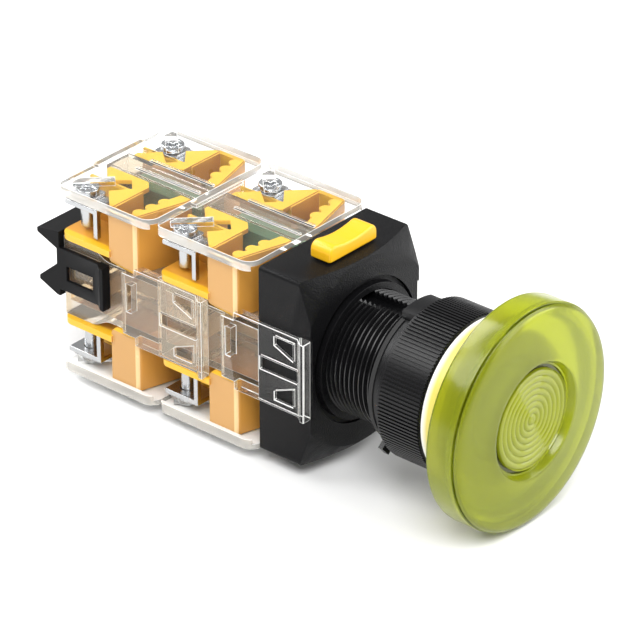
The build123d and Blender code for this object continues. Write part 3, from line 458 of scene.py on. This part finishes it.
def join(piece, operation, *others):
    """Add other pieces to a piece, or cut them out of it."""
    for other in others:
        only(piece)
        step = piece.modifiers.new("step", "BOOLEAN")
        step.operation = operation
        step.solver = "EXACT"
        step.object = other
        bpy.ops.object.modifier_apply(modifier=step.name)
        bpy.data.objects.remove(other)
    return piece


def add(piece, *others):
    return join(piece, "UNION", *others)


def cut(piece, *others):
    return join(piece, "DIFFERENCE", *others)


def heal(piece):
    """Merge doubled corners and make split flat faces whole."""
    only(piece)
    edit()
    bpy.ops.mesh.select_mode(type="VERT")
    weld(CAD_WELD)
    bpy.ops.mesh.dissolve_limited(angle_limit=radians(FLAT))
    leave_edit()
    return piece


def copy_of(node):
    """A merged copy of a CAD node's mesh, with its flat faces whole again."""
    only(nodes[node])
    bpy.ops.object.duplicate()
    piece = named(bpy.context.object, f"{node}_edged")
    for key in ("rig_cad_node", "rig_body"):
        if key in piece:
            del piece[key]
    piece.parent = None
    return heal(piece)


def round_edges(piece, node, width, finish=None, rim=None):
    """Round a piece's edges, give it its finish and let it stand for its CAD node; a given rim finish is
    painted on the rounded edges as a painted highlight.
    """
    slot_name = SLOT_OF[node]
    heal(piece)
    done(piece, BODY_OF[node], finish or BY_SLOT[slot_name], smooth=EDGED_SMOOTH)
    rounding = piece.modifiers.new("rounding", "BEVEL")
    rounding.width = width * MM
    rounding.segments = 2
    rounding.limit_method = "ANGLE"
    rounding.angle_limit = radians(SHARP)
    rounding.use_clamp_overlap = True
    rounding.harden_normals = True
    if rim:
        piece.data.materials.append(rim)
        rounding.material = 1
    bpy.ops.object.modifier_apply(modifier=rounding.name)
    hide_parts(node)
    return piece


# Threaded barrel: a smooth core, a helical ridge around it and the keyway cut through both.
# The ridge's foot takes a share of the pitch, and its crest a share of the foot
CREST, ROOT, PITCH = 10.88, 10.3, 1.0
THREAD_FRONT, THREAD_BACK = -28.1, 1.5
FOOT_SHARE, CREST_SHARE = 0.84, 0.22
RIDGE_EXTRA = 0.1
TURN_STEPS = 96
KEYWAY = ((-1.75, 1.75), (-18.4, 9.0), (9.3, 12))
CORE_PROFILE = [
    (-28.3, 8.7), (-28.3, ROOT), (3.0, ROOT), (3.0, 10.9), (8.5, 10.9), (8.5, 8.3), (-3.0, 8.3),
    (-3.0, 7.36), (-8.0, 7.36), (-8.0, 8.7)]


def make_barrel():
    core = turned("barrel_core", CORE_PROFILE)
    cut(core, box(*KEYWAY))
    done(core, "base", BARREL)
    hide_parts("threaded_barrel")
    nothing_selected()
    middle = (ROOT + CREST) / 2
    bpy.ops.mesh.primitive_plane_add(size=1, location=(middle * MM, THREAD_FRONT * MM, 0))
    ridge = named(bpy.context.object, "barrel_thread")
    ridge.scale = ((CREST - ROOT + RIDGE_EXTRA) * MM, FOOT_SHARE * PITCH * MM, 1)
    apply_place()
    edit()
    bpy.ops.mesh.delete(type="ONLY_FACE")
    leave_edit()
    for vertex in ridge.data.vertices:
        vertex.select = vertex.co.x > middle * MM
    edit()
    bpy.ops.transform.resize(
        value=(1, CREST_SHARE, 1), center_override=(CREST * MM, THREAD_FRONT * MM, 0))
    leave_edit()
    helix = ridge.modifiers.new("helix", "SCREW")
    helix.axis = "Y"
    helix.angle = 2 * pi
    helix.screw_offset = PITCH * MM
    helix.iterations = int((THREAD_BACK - THREAD_FRONT) / PITCH)
    helix.steps = TURN_STEPS
    helix.render_steps = TURN_STEPS
    bpy.ops.object.modifier_apply(modifier=helix.name)
    edit()
    weld()
    bpy.ops.mesh.select_all(action="DESELECT")
    bpy.ops.mesh.select_non_manifold()
    bpy.ops.mesh.fill_holes(sides=4)
    outwards()
    leave_edit()
    cut(ridge, box(*KEYWAY))
    done(ridge, "base", BARREL)


make_barrel()

# Ring nut with fine ribs along its outside; a rib takes two of every four strips
RIBS = 127
STRIPS, RAISED_STRIPS = 4, 2
RIB_HEIGHT = 0.29
NUT_FRONT, NUT_BACK = -23.3, -13.5
NUT_BORE, NUT_RIM, NUT_RADIUS = 10.96, 13.3, 13.9
CHAMFER = 0.45
RIB_BACK = NUT_BACK - 2 * CHAMFER
RIB_FRONT = NUT_FRONT + CHAMFER
NUT_PROFILE = [
    (NUT_BACK, NUT_BORE), (NUT_BACK, NUT_RIM), (NUT_BACK - CHAMFER, NUT_RADIUS), (RIB_BACK, NUT_RADIUS),
    (-21.8, NUT_RADIUS), (-22.4, NUT_RADIUS), (RIB_FRONT, NUT_RADIUS), (NUT_FRONT, NUT_RIM),
    (NUT_FRONT, NUT_BORE)]
FACET_DEPTH = 0.05


def make_nut():
    strips = RIBS * STRIPS
    nut = turned("nut_ribbed", NUT_PROFILE, segments=strips)
    edit()
    bpy.ops.mesh.select_mode(type="FACE")
    bpy.ops.mesh.select_all(action="DESELECT")
    leave_edit()
    for face in nut.data.polygons:
        spoke = Vector((face.center.x, face.center.z))
        turn = (pi + spoke.angle_signed(Vector((1, 0)))) / (2 * pi)
        along = RIB_BACK > face.center.y / MM > RIB_FRONT
        outside = spoke.length > (NUT_RADIUS - FACET_DEPTH) * MM
        face.select = along and outside and int(turn * strips) % STRIPS < RAISED_STRIPS
    edit()
    bpy.ops.mesh.extrude_region_shrink_fatten(TRANSFORM_OT_shrink_fatten={"value": RIB_HEIGHT * MM})
    bpy.ops.mesh.select_mode(type="VERT")
    done(nut, "nut", NUT, smooth=FINE_SMOOTH)
    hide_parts("knurled_nut")


make_nut()

# Mushroom cap and its rippled lens. A ripple's steps are shares of the pitch with their heights, and
# the lens closes just short of the axis
CAP_SEGMENTS = 160
CAP_PROFILE = [
    (-29.2, 18.2), (-29.2, 19.3), (-29.27, 19.65), (-29.5, 19.9), (-29.9, 20.0), (-34.4, 20.0),
    (-34.52, 19.93), (-34.6, 19.75), (-34.62, 19.0), (-34.86, 19.0), (-34.88, 19.7), (-35.0, 19.72),
    (-35.3, 19.5), (-35.55, 19.1), (-35.7, 18.5), (-35.8, 17.6), (-35.95, 16.0), (-36.08, 14.0),
    (-36.17, 12.2), (-36.27, 11.0), (-36.3, 10.6), (-36.24, 10.4), (-36.0, 10.2), (-35.3, 9.95),
    (-35.1, 9.8), (-35.1, 9.5), (-34.5, 9.45), (-34.5, 4.6), (-33.2, 4.6), (-33.2, 7.3),
    (-33.5, 11.2), (-33.5, 16.4), (-33.1, 17.4), (-32.6, 18.0), (-31.7, 18.2)]
HUB_PROFILE = [
    (-33.18, 4.62), (-33.18, 7.28), (-26.95, 7.28), (-26.95, 5.88), (-20.9, 5.88), (-20.9, 4.62)]
LENS_BACK, LENS_FACE, LENS_CENTRE = -34.52, -35.35, -35.5
LENS_RIM = [(LENS_BACK, 9.4), (-34.75, 9.4), (-34.75, 8.95), (-35.5, 8.9), (-35.62, 8.85)]
RIPPLES, RIPPLE_RADIUS, RIPPLE_PITCH = 8, 8.7, 1.1
RIPPLE_STEPS = ((0, 0), (0.18, 0.16), (0.5, 0.3), (0.82, 0.16))
LEAST_RADIUS = 0.15
NO_RADIUS = 0.005


def make_cap():
    cap = turned("cap_shell", CAP_PROFILE, segments=CAP_SEGMENTS)
    done(cap, "head", CAP, smooth=FINE_SMOOTH)
    hub = turned("cap_hub", HUB_PROFILE)
    done(hub, "head", CAP)
    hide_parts("mushroom_cap")
    ripples = [
        (LENS_FACE - lift, RIPPLE_RADIUS - ripple * RIPPLE_PITCH - step * RIPPLE_PITCH)
        for ripple in range(RIPPLES) for step, lift in RIPPLE_STEPS]
    middle = [(LENS_CENTRE, NO_RADIUS), (LENS_BACK, NO_RADIUS)]
    lens = turned("lens_rippled", LENS_RIM + [p for p in ripples if p[1] > LEAST_RADIUS] + middle)
    done(lens, "head", LENS, smooth=RIPPLED_SMOOTH)
    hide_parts("lens_disc")


make_cap()

# Mouldings of the base and the end get the small rounded edges that catch the light
for node, width in (("base_housing", 0.22), ("lock_lever", 0.3), ("end_clip", 0.15)):
    round_edges(copy_of(node), node, width)

# Contact blocks. Y places count from a block's start. Cutting pieces reach past what they cut, and
# joined pieces overlap or stand inset, so that no two faces lie in one plane. A hand of 1 or -1 is an
# end of X, and a side of 1 or -1 an end of Z
BLOCK_START = {"front": 11.4, "rear": 34.0}
BLOCK_LENGTH = 22.4
PAST, FAR_PAST = 1.0, 2.0
OVERLAP, INSET, SUNK = 0.4, 0.2, 0.1
SQUARE = ((-1, -1), (1, -1), (1, 1), (-1, 1))
QUARTERS = ((1, 1), (1, -1), (-1, 1), (-1, -1))
ARC_STEPS = 6


def rounded(outline, radius, *corners):
    """Replace the numbered corners of an outline by arcs."""
    result = []
    for index, corner in enumerate(outline):
        if index not in corners:
            result.append(corner)
            continue
        here = Vector(corner)
        before = (Vector(outline[index - 1]) - here).normalized()
        after = (Vector(outline[(index + 1) % len(outline)]) - here).normalized()
        half = before.angle(after) / 2
        centre = here + (before + after).normalized() * radius / sin(half)
        start = here + before * radius / tan(half) - centre
        end = here + after * radius / tan(half) - centre
        for step in range(ARC_STEPS + 1):
            result.append(tuple(centre + start.slerp(end, step / ARC_STEPS) * radius))
    return result


def four_corners(piece, name):
    """Mirror a corner piece about both middle planes and name the result."""
    only(piece)
    twin = piece.modifiers.new("corners", "MIRROR")
    twin.use_axis = (True, False, True)
    twin.use_mirror_merge = False
    bpy.ops.object.modifier_apply(modifier=twin.name)
    return named(piece, name)


def diagonal(start, hand, out, across):
    """Plan place in a terminal corner, from its distances along and across the 45 degree line."""
    return (hand * (out - across) / sqrt(2), start + (out + across) / sqrt(2))


# Terminal shrouds: a cup whose front runs square at its nose near the middle and slants back from
# there, with two pockets, a bay open towards the back, and a shelf
CUP_NOSE, CUP_SHOULDER, CUP_BACK = 2.1, 4.9, 11.1
CUP_NOSE_X, CUP_OUTER_X, CUP_RIM_X, CUP_INNER_X = 4.0, 14.2, 13.3, 3.0
CUP_LOW, CUP_TOP = 6.1, 16.8
CUP_RIM_DROP = 0.2
CUP_ROUNDING = 1.2
WALL = 0.8
BAY_X = 6.2
BAY_END = 22.3
SHALLOW_FLOOR, DEEP_FLOOR = 12.0, 8.7
SHELF_LOW, SHELF_TOP, SHELF_X = 7.65, 8.85, 14.65
SHELF_ROUNDING = 2.0
ROOF_X = CUP_RIM_X + 0.3
BAND_SET_BACK = 0.25
BAND_BACK, BAND_OUTER_BACK, BAND_RISE = 4.6, 6.04, 1.4
TEETH_X, TOOTH_RADIUS, TOOTH_STEPS = (12.2, 9.4, 6.6), 1.1, 8
ROOF_FRONT, ROOF_FRONT_CORNER = 10.6, 1.5
ROOF_SLANT, ROOF_BACK_CORNER = 17.6, 0.9
NOTCH_ACROSS = 5.75
NOTCH = ((13.5, -1.6), (13.5, 1.6), (18.6, 2.1), (18.6, -2.1))
SAME_PLACE = 0.01
SHROUD_ROUNDING = 0.15


def same(one, other):
    return abs(one - other) < SAME_PLACE


def front_at(start, x, set_back):
    """Y of the shroud's front wall at an X place: square at the nose, slanted beyond it."""
    slope = (CUP_SHOULDER - CUP_NOSE) / (CUP_OUTER_X - CUP_NOSE_X)
    return start + CUP_NOSE + set_back + slope * max(x - CUP_NOSE_X, 0)


def along_slant(start, inner_x, outer_x, set_back, back):
    """Plan between two X limits, with its front along the shroud's front wall."""
    turn_x = max(inner_x, CUP_NOSE_X)
    outline = [
        (turn_x, front_at(start, turn_x, set_back)), (outer_x, front_at(start, outer_x, set_back)),
        (outer_x, start + back), (inner_x, start + back)]
    if inner_x < CUP_NOSE_X:
        outline.append((inner_x, front_at(start, inner_x, set_back)))
    return outline


def round_under(cup, start):
    """Round the cup's lower edges at its outer side and its back."""
    edit()
    bpy.ops.mesh.select_mode(type="EDGE")
    bpy.ops.mesh.select_all(action="DESELECT")
    leave_edit()
    for edge in cup.data.edges:
        ends = [cup.data.vertices[v].co / MM for v in edge.vertices]
        low = all(same(end.z, CUP_LOW) for end in ends)
        side = all(same(end.x, CUP_OUTER_X) for end in ends)
        back = all(same(end.y, start + CUP_BACK) for end in ends)
        edge.select = low and (side or back)
    edit()
    bpy.ops.mesh.bevel(offset=CUP_ROUNDING * MM, segments=5, affect="EDGES")
    bpy.ops.mesh.select_mode(type="VERT")
    leave_edit()


def toothed_band(start):
    """Plan of the band along the cup's front, with three round teeth at its back."""
    slope = BAND_RISE / (CUP_RIM_X - CUP_INNER_X)
    front = [(x, front_at(start, x, BAND_SET_BACK)) for x in (CUP_INNER_X, CUP_NOSE_X, ROOF_X)]
    turns = [pi * step / TOOTH_STEPS for step in range(TOOTH_STEPS + 1)]
    teeth = [
        (x + TOOTH_RADIUS * cos(turn),
         start + BAND_BACK + slope * (x - CUP_INNER_X) + TOOTH_RADIUS * sin(turn))
        for x in TEETH_X for turn in turns]
    return front + [(ROOF_X, start + BAND_OUTER_BACK)] + teeth + [(CUP_INNER_X, start + BAND_BACK)]


def notched_roof(start, low):
    """Top plate behind the band, with a slanted back and a notch that clears the screw's slot."""
    slant = start + ROOF_SLANT * sqrt(2)
    front = start + ROOF_FRONT
    corner_x = CUP_INNER_X + ROOF_BACK_CORNER
    roof = prism([
        (CUP_INNER_X, front + ROOF_FRONT_CORNER), (CUP_INNER_X + ROOF_FRONT_CORNER, front),
        (ROOF_X, front), (ROOF_X, slant - ROOF_X), (corner_x, slant - corner_x),
        (CUP_INNER_X, slant - corner_x)], low, CUP_TOP)
    notch = [diagonal(start, 1, out, NOTCH_ACROSS + across) for out, across in NOTCH]
    return cut(roof, prism(notch, low - PAST, CUP_TOP + PAST))


def make_shrouds(block, start):
    """Cups with slanted fronts, toothed bands, notched top plates, shelves and inner bay walls."""
    plan = rounded(along_slant(start, CUP_INNER_X, CUP_OUTER_X, 0, CUP_BACK), CUP_ROUNDING, 1)
    cup = prism(plan, CUP_LOW, CUP_TOP - CUP_RIM_DROP)
    round_under(cup, start)
    top = CUP_TOP + PAST
    pocket_back = CUP_BACK - WALL
    past_inner = along_slant(start, CUP_INNER_X - PAST, BAY_X, WALL, CUP_BACK + PAST)
    deep = along_slant(start, BAY_X + WALL, CUP_RIM_X, WALL, pocket_back)
    shallow = along_slant(start, BAY_X - PAST, CUP_RIM_X, WALL, pocket_back)
    cut(cup, prism(past_inner, CUP_LOW - PAST, top), prism(deep, DEEP_FLOOR, top),
        prism(shallow, SHALLOW_FLOOR, top))
    bay = start + pocket_back + OVERLAP
    end = start + BAY_END
    roof_low = CUP_TOP - WALL
    shelf = rounded([(CUP_INNER_X, bay), (SHELF_X, bay), (SHELF_X, end), (CUP_INNER_X, end)],
                    SHELF_ROUNDING, 2)
    roof = notched_roof(start, roof_low)
    bay_wall = box((BAY_X + INSET, BAY_X + WALL), (bay, end - INSET),
                   (SHELF_LOW + OVERLAP, roof_low + OVERLAP))
    add(cup, prism(shelf, SHELF_LOW, SHELF_TOP), bay_wall,
        prism(toothed_band(start), roof_low, CUP_TOP), roof)
    piece = four_corners(cup, f"{block}_shrouds_edged")
    round_edges(piece, f"{block}_terminal_shrouds", SHROUD_ROUNDING)
    paint_cup_light_and_shade(piece, start + CUP_BACK)


# Shares of a wall's normal: along X for a side wall, towards the front for a front wall, and along X
# for the slanted front, which a rounded corner passes
SQUARE_ON, FORWARD, SLANT_LEAN = 0.96, 0.3, 0.6
CUP_EDGE = 0.1
# Slots of the lit tone, the painted shade and the painted highlight on the cups' walls
SIDE_LIT_SLOT, FRONT_SHADE_SLOT, CORNER_HIGHLIGHT_SLOT = 1, 2, 3


def paint_cup_light_and_shade(piece, back):
    """Paint light and shade on the cups' outer and slanted front walls by the way each faces: a lit tone on
    the outer sides, painted shade on the slanted fronts and a painted highlight on the rounded corners.
    """
    for finish in (SIDE_LIT_TONE, FRONT_SHADE, CORNER_HIGHLIGHT):
        piece.data.materials.append(finish)
    for face in piece.data.polygons:
        if face.center.y >= (back + CUP_EDGE) * MM:
            continue
        lean = abs(face.normal.x)
        at_side = abs(face.center.x) > (CUP_RIM_X + CUP_EDGE) * MM
        if lean > SQUARE_ON and at_side:
            face.material_index = SIDE_LIT_SLOT
        elif face.normal.y < -FORWARD:
            face.material_index = FRONT_SHADE_SLOT if lean < SLANT_LEAN else CORNER_HIGHLIGHT_SLOT


# Covers: a plate with skirts, a ridge at its back, two rails and two slots for a screwdriver
COVER_FRONT, COVER_HALF = 0.8, 15.0
SKIRT_LOW, COVER_LOW, COVER_TOP = 16.15, 17.05, 18.05
SKIRT = 0.8
FRONT_ROUNDING, BACK_ROUNDING = 2.4, 1.6
SLOT_OUT, SLOT_HALF_LENGTH = 20.0, 3.6
SLOT_ACROSS, SLOT_HALF_WIDTH = 6.1, 1.075
RIDGE_X, RIDGE_FRONT, RIDGE_HEIGHT = 6, 1.5, 0.6
RAIL_X, RAIL_Y, RAIL_HEIGHT = (1.5, 2.1), (1.4, 16.0), 0.35
COVER_ROUNDING = 0.12
UPRIGHT = 0.3
# How far in from the sides and the back the painted edge highlight reaches, and its slot
RIM_DEPTH, BACK_RIM_DEPTH = 0.9, 0.4
EDGE_HIGHLIGHT_SLOT = 2


def make_cover(block, start, side):
    """Clear cover above the block, or, where the side is -1, one below it whose milky, paler finish is
    painted light against its shade.
    """
    front, end = start + COVER_FRONT, start + BLOCK_LENGTH
    outline = [(x * COVER_HALF, end if y > 0 else front) for x, y in SQUARE]
    plan = rounded(rounded(outline, BACK_ROUNDING, 2, 3), FRONT_ROUNDING, 0, 1)
    cover = prism(plan, side * SKIRT_LOW, side * COVER_TOP)
    inner = COVER_HALF - SKIRT
    cut(cover, box((-inner, inner), (front - PAST, end + PAST),
                   (side * (SKIRT_LOW - PAST), side * COVER_LOW)))
    for hand in (1, -1):
        hole = [
            diagonal(start, hand, SLOT_OUT + out * SLOT_HALF_LENGTH, SLOT_ACROSS + across * SLOT_HALF_WIDTH)
            for out, across in SQUARE]
        cut(cover, prism(hole, side * (COVER_LOW - FAR_PAST), side * (COVER_TOP + FAR_PAST)))
    foot = side * (COVER_TOP - SUNK)
    add(cover, box((-RIDGE_X, RIDGE_X), (end - RIDGE_FRONT, end - INSET),
                   (foot, side * (COVER_TOP + RIDGE_HEIGHT))))
    for hand in (1, -1):
        add(cover, box([hand * x for x in RAIL_X], [start + y for y in RAIL_Y],
                       (foot, side * (COVER_TOP + RAIL_HEIGHT))))
    node = f"{block}_{'top' if side > 0 else 'bottom'}_cover"
    named(cover, f"{node}_edged")
    round_edges(cover, node, COVER_ROUNDING, finish=COVER if side > 0 else LIGHTENED_LOW_COVER, rim=RIM_HIGHLIGHT)
    # Painted highlight: the upright faces at the cover's rim get the whitish edge finish
    cover.data.materials.append(EDGE)
    for face in cover.data.polygons:
        x, y = abs(face.center.x) / MM, face.center.y / MM
        at_rim = x > COVER_HALF - RIM_DEPTH or y < front + FRONT_ROUNDING or y > end - BACK_RIM_DEPTH
        if abs(face.normal.z) < UPRIGHT and at_rim:
            face.material_index = EDGE_HIGHLIGHT_SLOT


# Terminals: bent plate, square washer and screw, with play between them
SCREW_X, SCREW_Y = 10.8, 19.1
PLATE_LOW, PLATE_TOP = 14.0, 14.9
PLATE_HALF, PLATE_INNER_X = 2.8, 8.7
LEG_Y, LEG_LOW, LEG_WIDTH, LEG_THICK = 14.4, 9.4, 1, 0.9
HOLE_RADIUS = 1.35
WASHER_HALF, WASHER_THICK, WASHER_ROUNDING = 2.4, 0.5, 0.7
HEAD_RADIUS, HEAD_HEIGHT, SHANK_RADIUS, SHANK_LOW = 2.1, 1.2, 1.25, 9.6
CROSS_HALF, CROSS_HALF_WIDTH, CROSS_FLOOR = 1.4, 0.35, 0.4
PLAY = 0.02
NOT_LEVEL = 0.01
PLATE_ROUNDING, WASHER_EDGE_ROUNDING, SCREW_ROUNDING = 0.12, 0.1, 0.3


def make_terminals(block, start):
    """Plates with two legs, square clamp washers and cross-recessed screws with rounded tips."""
    screw_y = start + SCREW_Y
    leg_y = start + LEG_Y
    outer_x = SCREW_X + PLATE_HALF
    plate = box((PLATE_INNER_X, outer_x), (leg_y, screw_y + PLATE_HALF), (PLATE_LOW, PLATE_TOP))
    for leg_x in ((PLATE_INNER_X, PLATE_INNER_X + LEG_WIDTH), (outer_x - LEG_WIDTH, outer_x)):
        add(plate, box(leg_x, (leg_y, leg_y + LEG_THICK), (LEG_LOW, PLATE_TOP - NOT_LEVEL)))
    cut(plate, disc(SCREW_X, screw_y, HOLE_RADIUS, PLATE_LOW - PAST, PLATE_TOP + PAST))
    piece = four_corners(plate, f"{block}_plates_edged")
    round_edges(piece, f"{block}_terminal_plates", PLATE_ROUNDING, finish=PLATE)
    outline = [(SCREW_X + x * WASHER_HALF, screw_y + y * WASHER_HALF) for x, y in SQUARE]
    washer_low = PLATE_TOP + PLAY
    saddle = prism(rounded(outline, WASHER_ROUNDING, 0, 1, 2, 3), washer_low, washer_low + WASHER_THICK)
    cut(saddle, disc(SCREW_X, screw_y, HOLE_RADIUS, PLATE_LOW, PLATE_TOP + FAR_PAST))
    piece = four_corners(saddle, f"{block}_saddles_edged")
    round_edges(piece, f"{block}_saddle_washers", WASHER_EDGE_ROUNDING)
    head = washer_low + WASHER_THICK + PLAY
    screw = disc(SCREW_X, screw_y, HEAD_RADIUS, head, head + HEAD_HEIGHT)
    add(screw, disc(SCREW_X, screw_y, SHANK_RADIUS, SHANK_LOW, head + SUNK))
    floor, over = head + CROSS_FLOOR, head + FAR_PAST
    recess = box((SCREW_X - CROSS_HALF, SCREW_X + CROSS_HALF),
                 (screw_y - CROSS_HALF_WIDTH, screw_y + CROSS_HALF_WIDTH), (floor, over))
    add(recess, box((SCREW_X - CROSS_HALF_WIDTH, SCREW_X + CROSS_HALF_WIDTH),
                    (screw_y - CROSS_HALF, screw_y + CROSS_HALF), (floor, over + NOT_LEVEL)))
    cut(screw, recess)
    piece = four_corners(screw, f"{block}_screws_edged")
    round_edges(piece, f"{block}_clamp_screws", SCREW_ROUNDING)


# Clear bodies: a narrow tower with a window in each wall, in the place of the wide one
TOWER, TOWER_WALL, TOWER_TOP, TOWER_END = 2.7, 0.7, 16.7, 0.3
STUB_TOP = 8.3
FOOT_X, FOOT_HALF = 3.25, 0.3
WINDOW_X, WINDOW_Y, WINDOW_Z = (1, 4), (8.3, 14.9), (8.7, 11.1)
PAST_TOWER_X, PAST_TOWER_Z = 5, 18
BODY_ROUNDING = 0.12
HOOK_FINISH = 2


def make_body(block, start):
    """Clear body: the CAD moulding with its tower drawn in to the width the covers' rails show."""
    node = f"{block}_block_body"
    # The rounded edges carry the painted rim highlight
    body = round_edges(copy_of(node), node, BODY_ROUNDING, rim=RIM_HIGHLIGHT)
    end = start + BLOCK_LENGTH
    tower_y = (start + TOWER_END, end - TOWER_END)
    for hand, side in QUARTERS:
        cut(body, box((hand * (TOWER - INSET), hand * PAST_TOWER_X), (start - PAST, end + PAST),
                      (side * STUB_TOP, side * PAST_TOWER_Z)))
        wall = box((hand * (TOWER - TOWER_WALL), hand * TOWER), tower_y,
                   (side * (STUB_TOP - SUNK), side * TOWER_TOP))
        cut(wall, box([hand * x for x in WINDOW_X], [start + y for y in WINDOW_Y],
                      [side * z for z in WINDOW_Z]))
        foot = box((hand * (TOWER - OVERLAP), hand * FOOT_X), tower_y,
                   (side * (STUB_TOP - FOOT_HALF), side * (STUB_TOP + FOOT_HALF)))
        add(body, wall, foot)
    only(body)
    bpy.ops.object.shade_smooth_by_angle(angle=radians(JOINED_SMOOTH))
    body.data.materials.append(HOOK)
    for face in body.data.polygons:
        if face.material_index == 0 and face.center.y < (BLOCK_START["front"] - INSET) * MM:
            face.material_index = HOOK_FINISH


# Slides: spans of the four long pieces that are cut off
SLIDE_X, SLIDE_Y, SLIDE_Z = (1.8, 4), (-6, 30), (6.4, 18)
SLIDE_ROUNDING = 0.12


def make_actuator(block, start):
    """Green slide, drawn in to run inside the tower."""
    node = f"{block}_actuator"
    slide = copy_of(node)
    for hand, side in QUARTERS:
        cut(slide, box([hand * x for x in SLIDE_X], [start + y for y in SLIDE_Y],
                       [side * z for z in SLIDE_Z]))
    round_edges(slide, node, SLIDE_ROUNDING)


for block, start in BLOCK_START.items():
    make_body(block, start)
    make_cover(block, start, 1)
    make_cover(block, start, -1)
    make_shrouds(block, start)
    make_terminals(block, start)
    make_actuator(block, start)


# Floor and light
FLOOR_SIZE, FLOOR_Z = 6, -0.0202
FLOOR_GREY = (0.82, 0.82, 0.82)
FLOOR_ROUGHNESS = 0.6
WORLD_LIGHT = 0.45
LIT = Vector((0, 0.01, 0))
LIGHTS = (
    ("key", (-0.45, -0.35, 0.75), 0.5, 8.0), ("fill", (0.55, -0.65, 0.45), 0.9, 10.5),
    ("back", (0.1, 0.75, 0.6), 0.5, 5.5), ("rim", (-0.45, 0.57, 0.69), 0.45, 3.5))


def make_stage():
    nothing_selected()
    bpy.ops.mesh.primitive_plane_add(size=FLOOR_SIZE, location=(0, 0, FLOOR_Z))
    floor = bpy.context.object
    floor.name = "floor"
    floor.data.materials.append(new_material("pale floor", FLOOR_GREY, FLOOR_ROUGHNESS))
    world = bpy.data.worlds.new("studio")
    scene.world = world
    world.use_nodes = True
    background = world.node_tree.nodes["Background"]
    background.inputs["Color"].default_value = (1, 1, 1, 1)
    background.inputs["Strength"].default_value = WORLD_LIGHT
    for name, place, size, power in LIGHTS:
        bpy.ops.object.light_add(type="AREA", location=place)
        light = bpy.context.object
        light.name = name
        light.data.shape = "SQUARE"
        light.data.size = size
        light.data.energy = power
        light.rotation_euler = (LIT - Vector(place)).to_track_quat("-Z", "Y").to_euler()


make_stage()
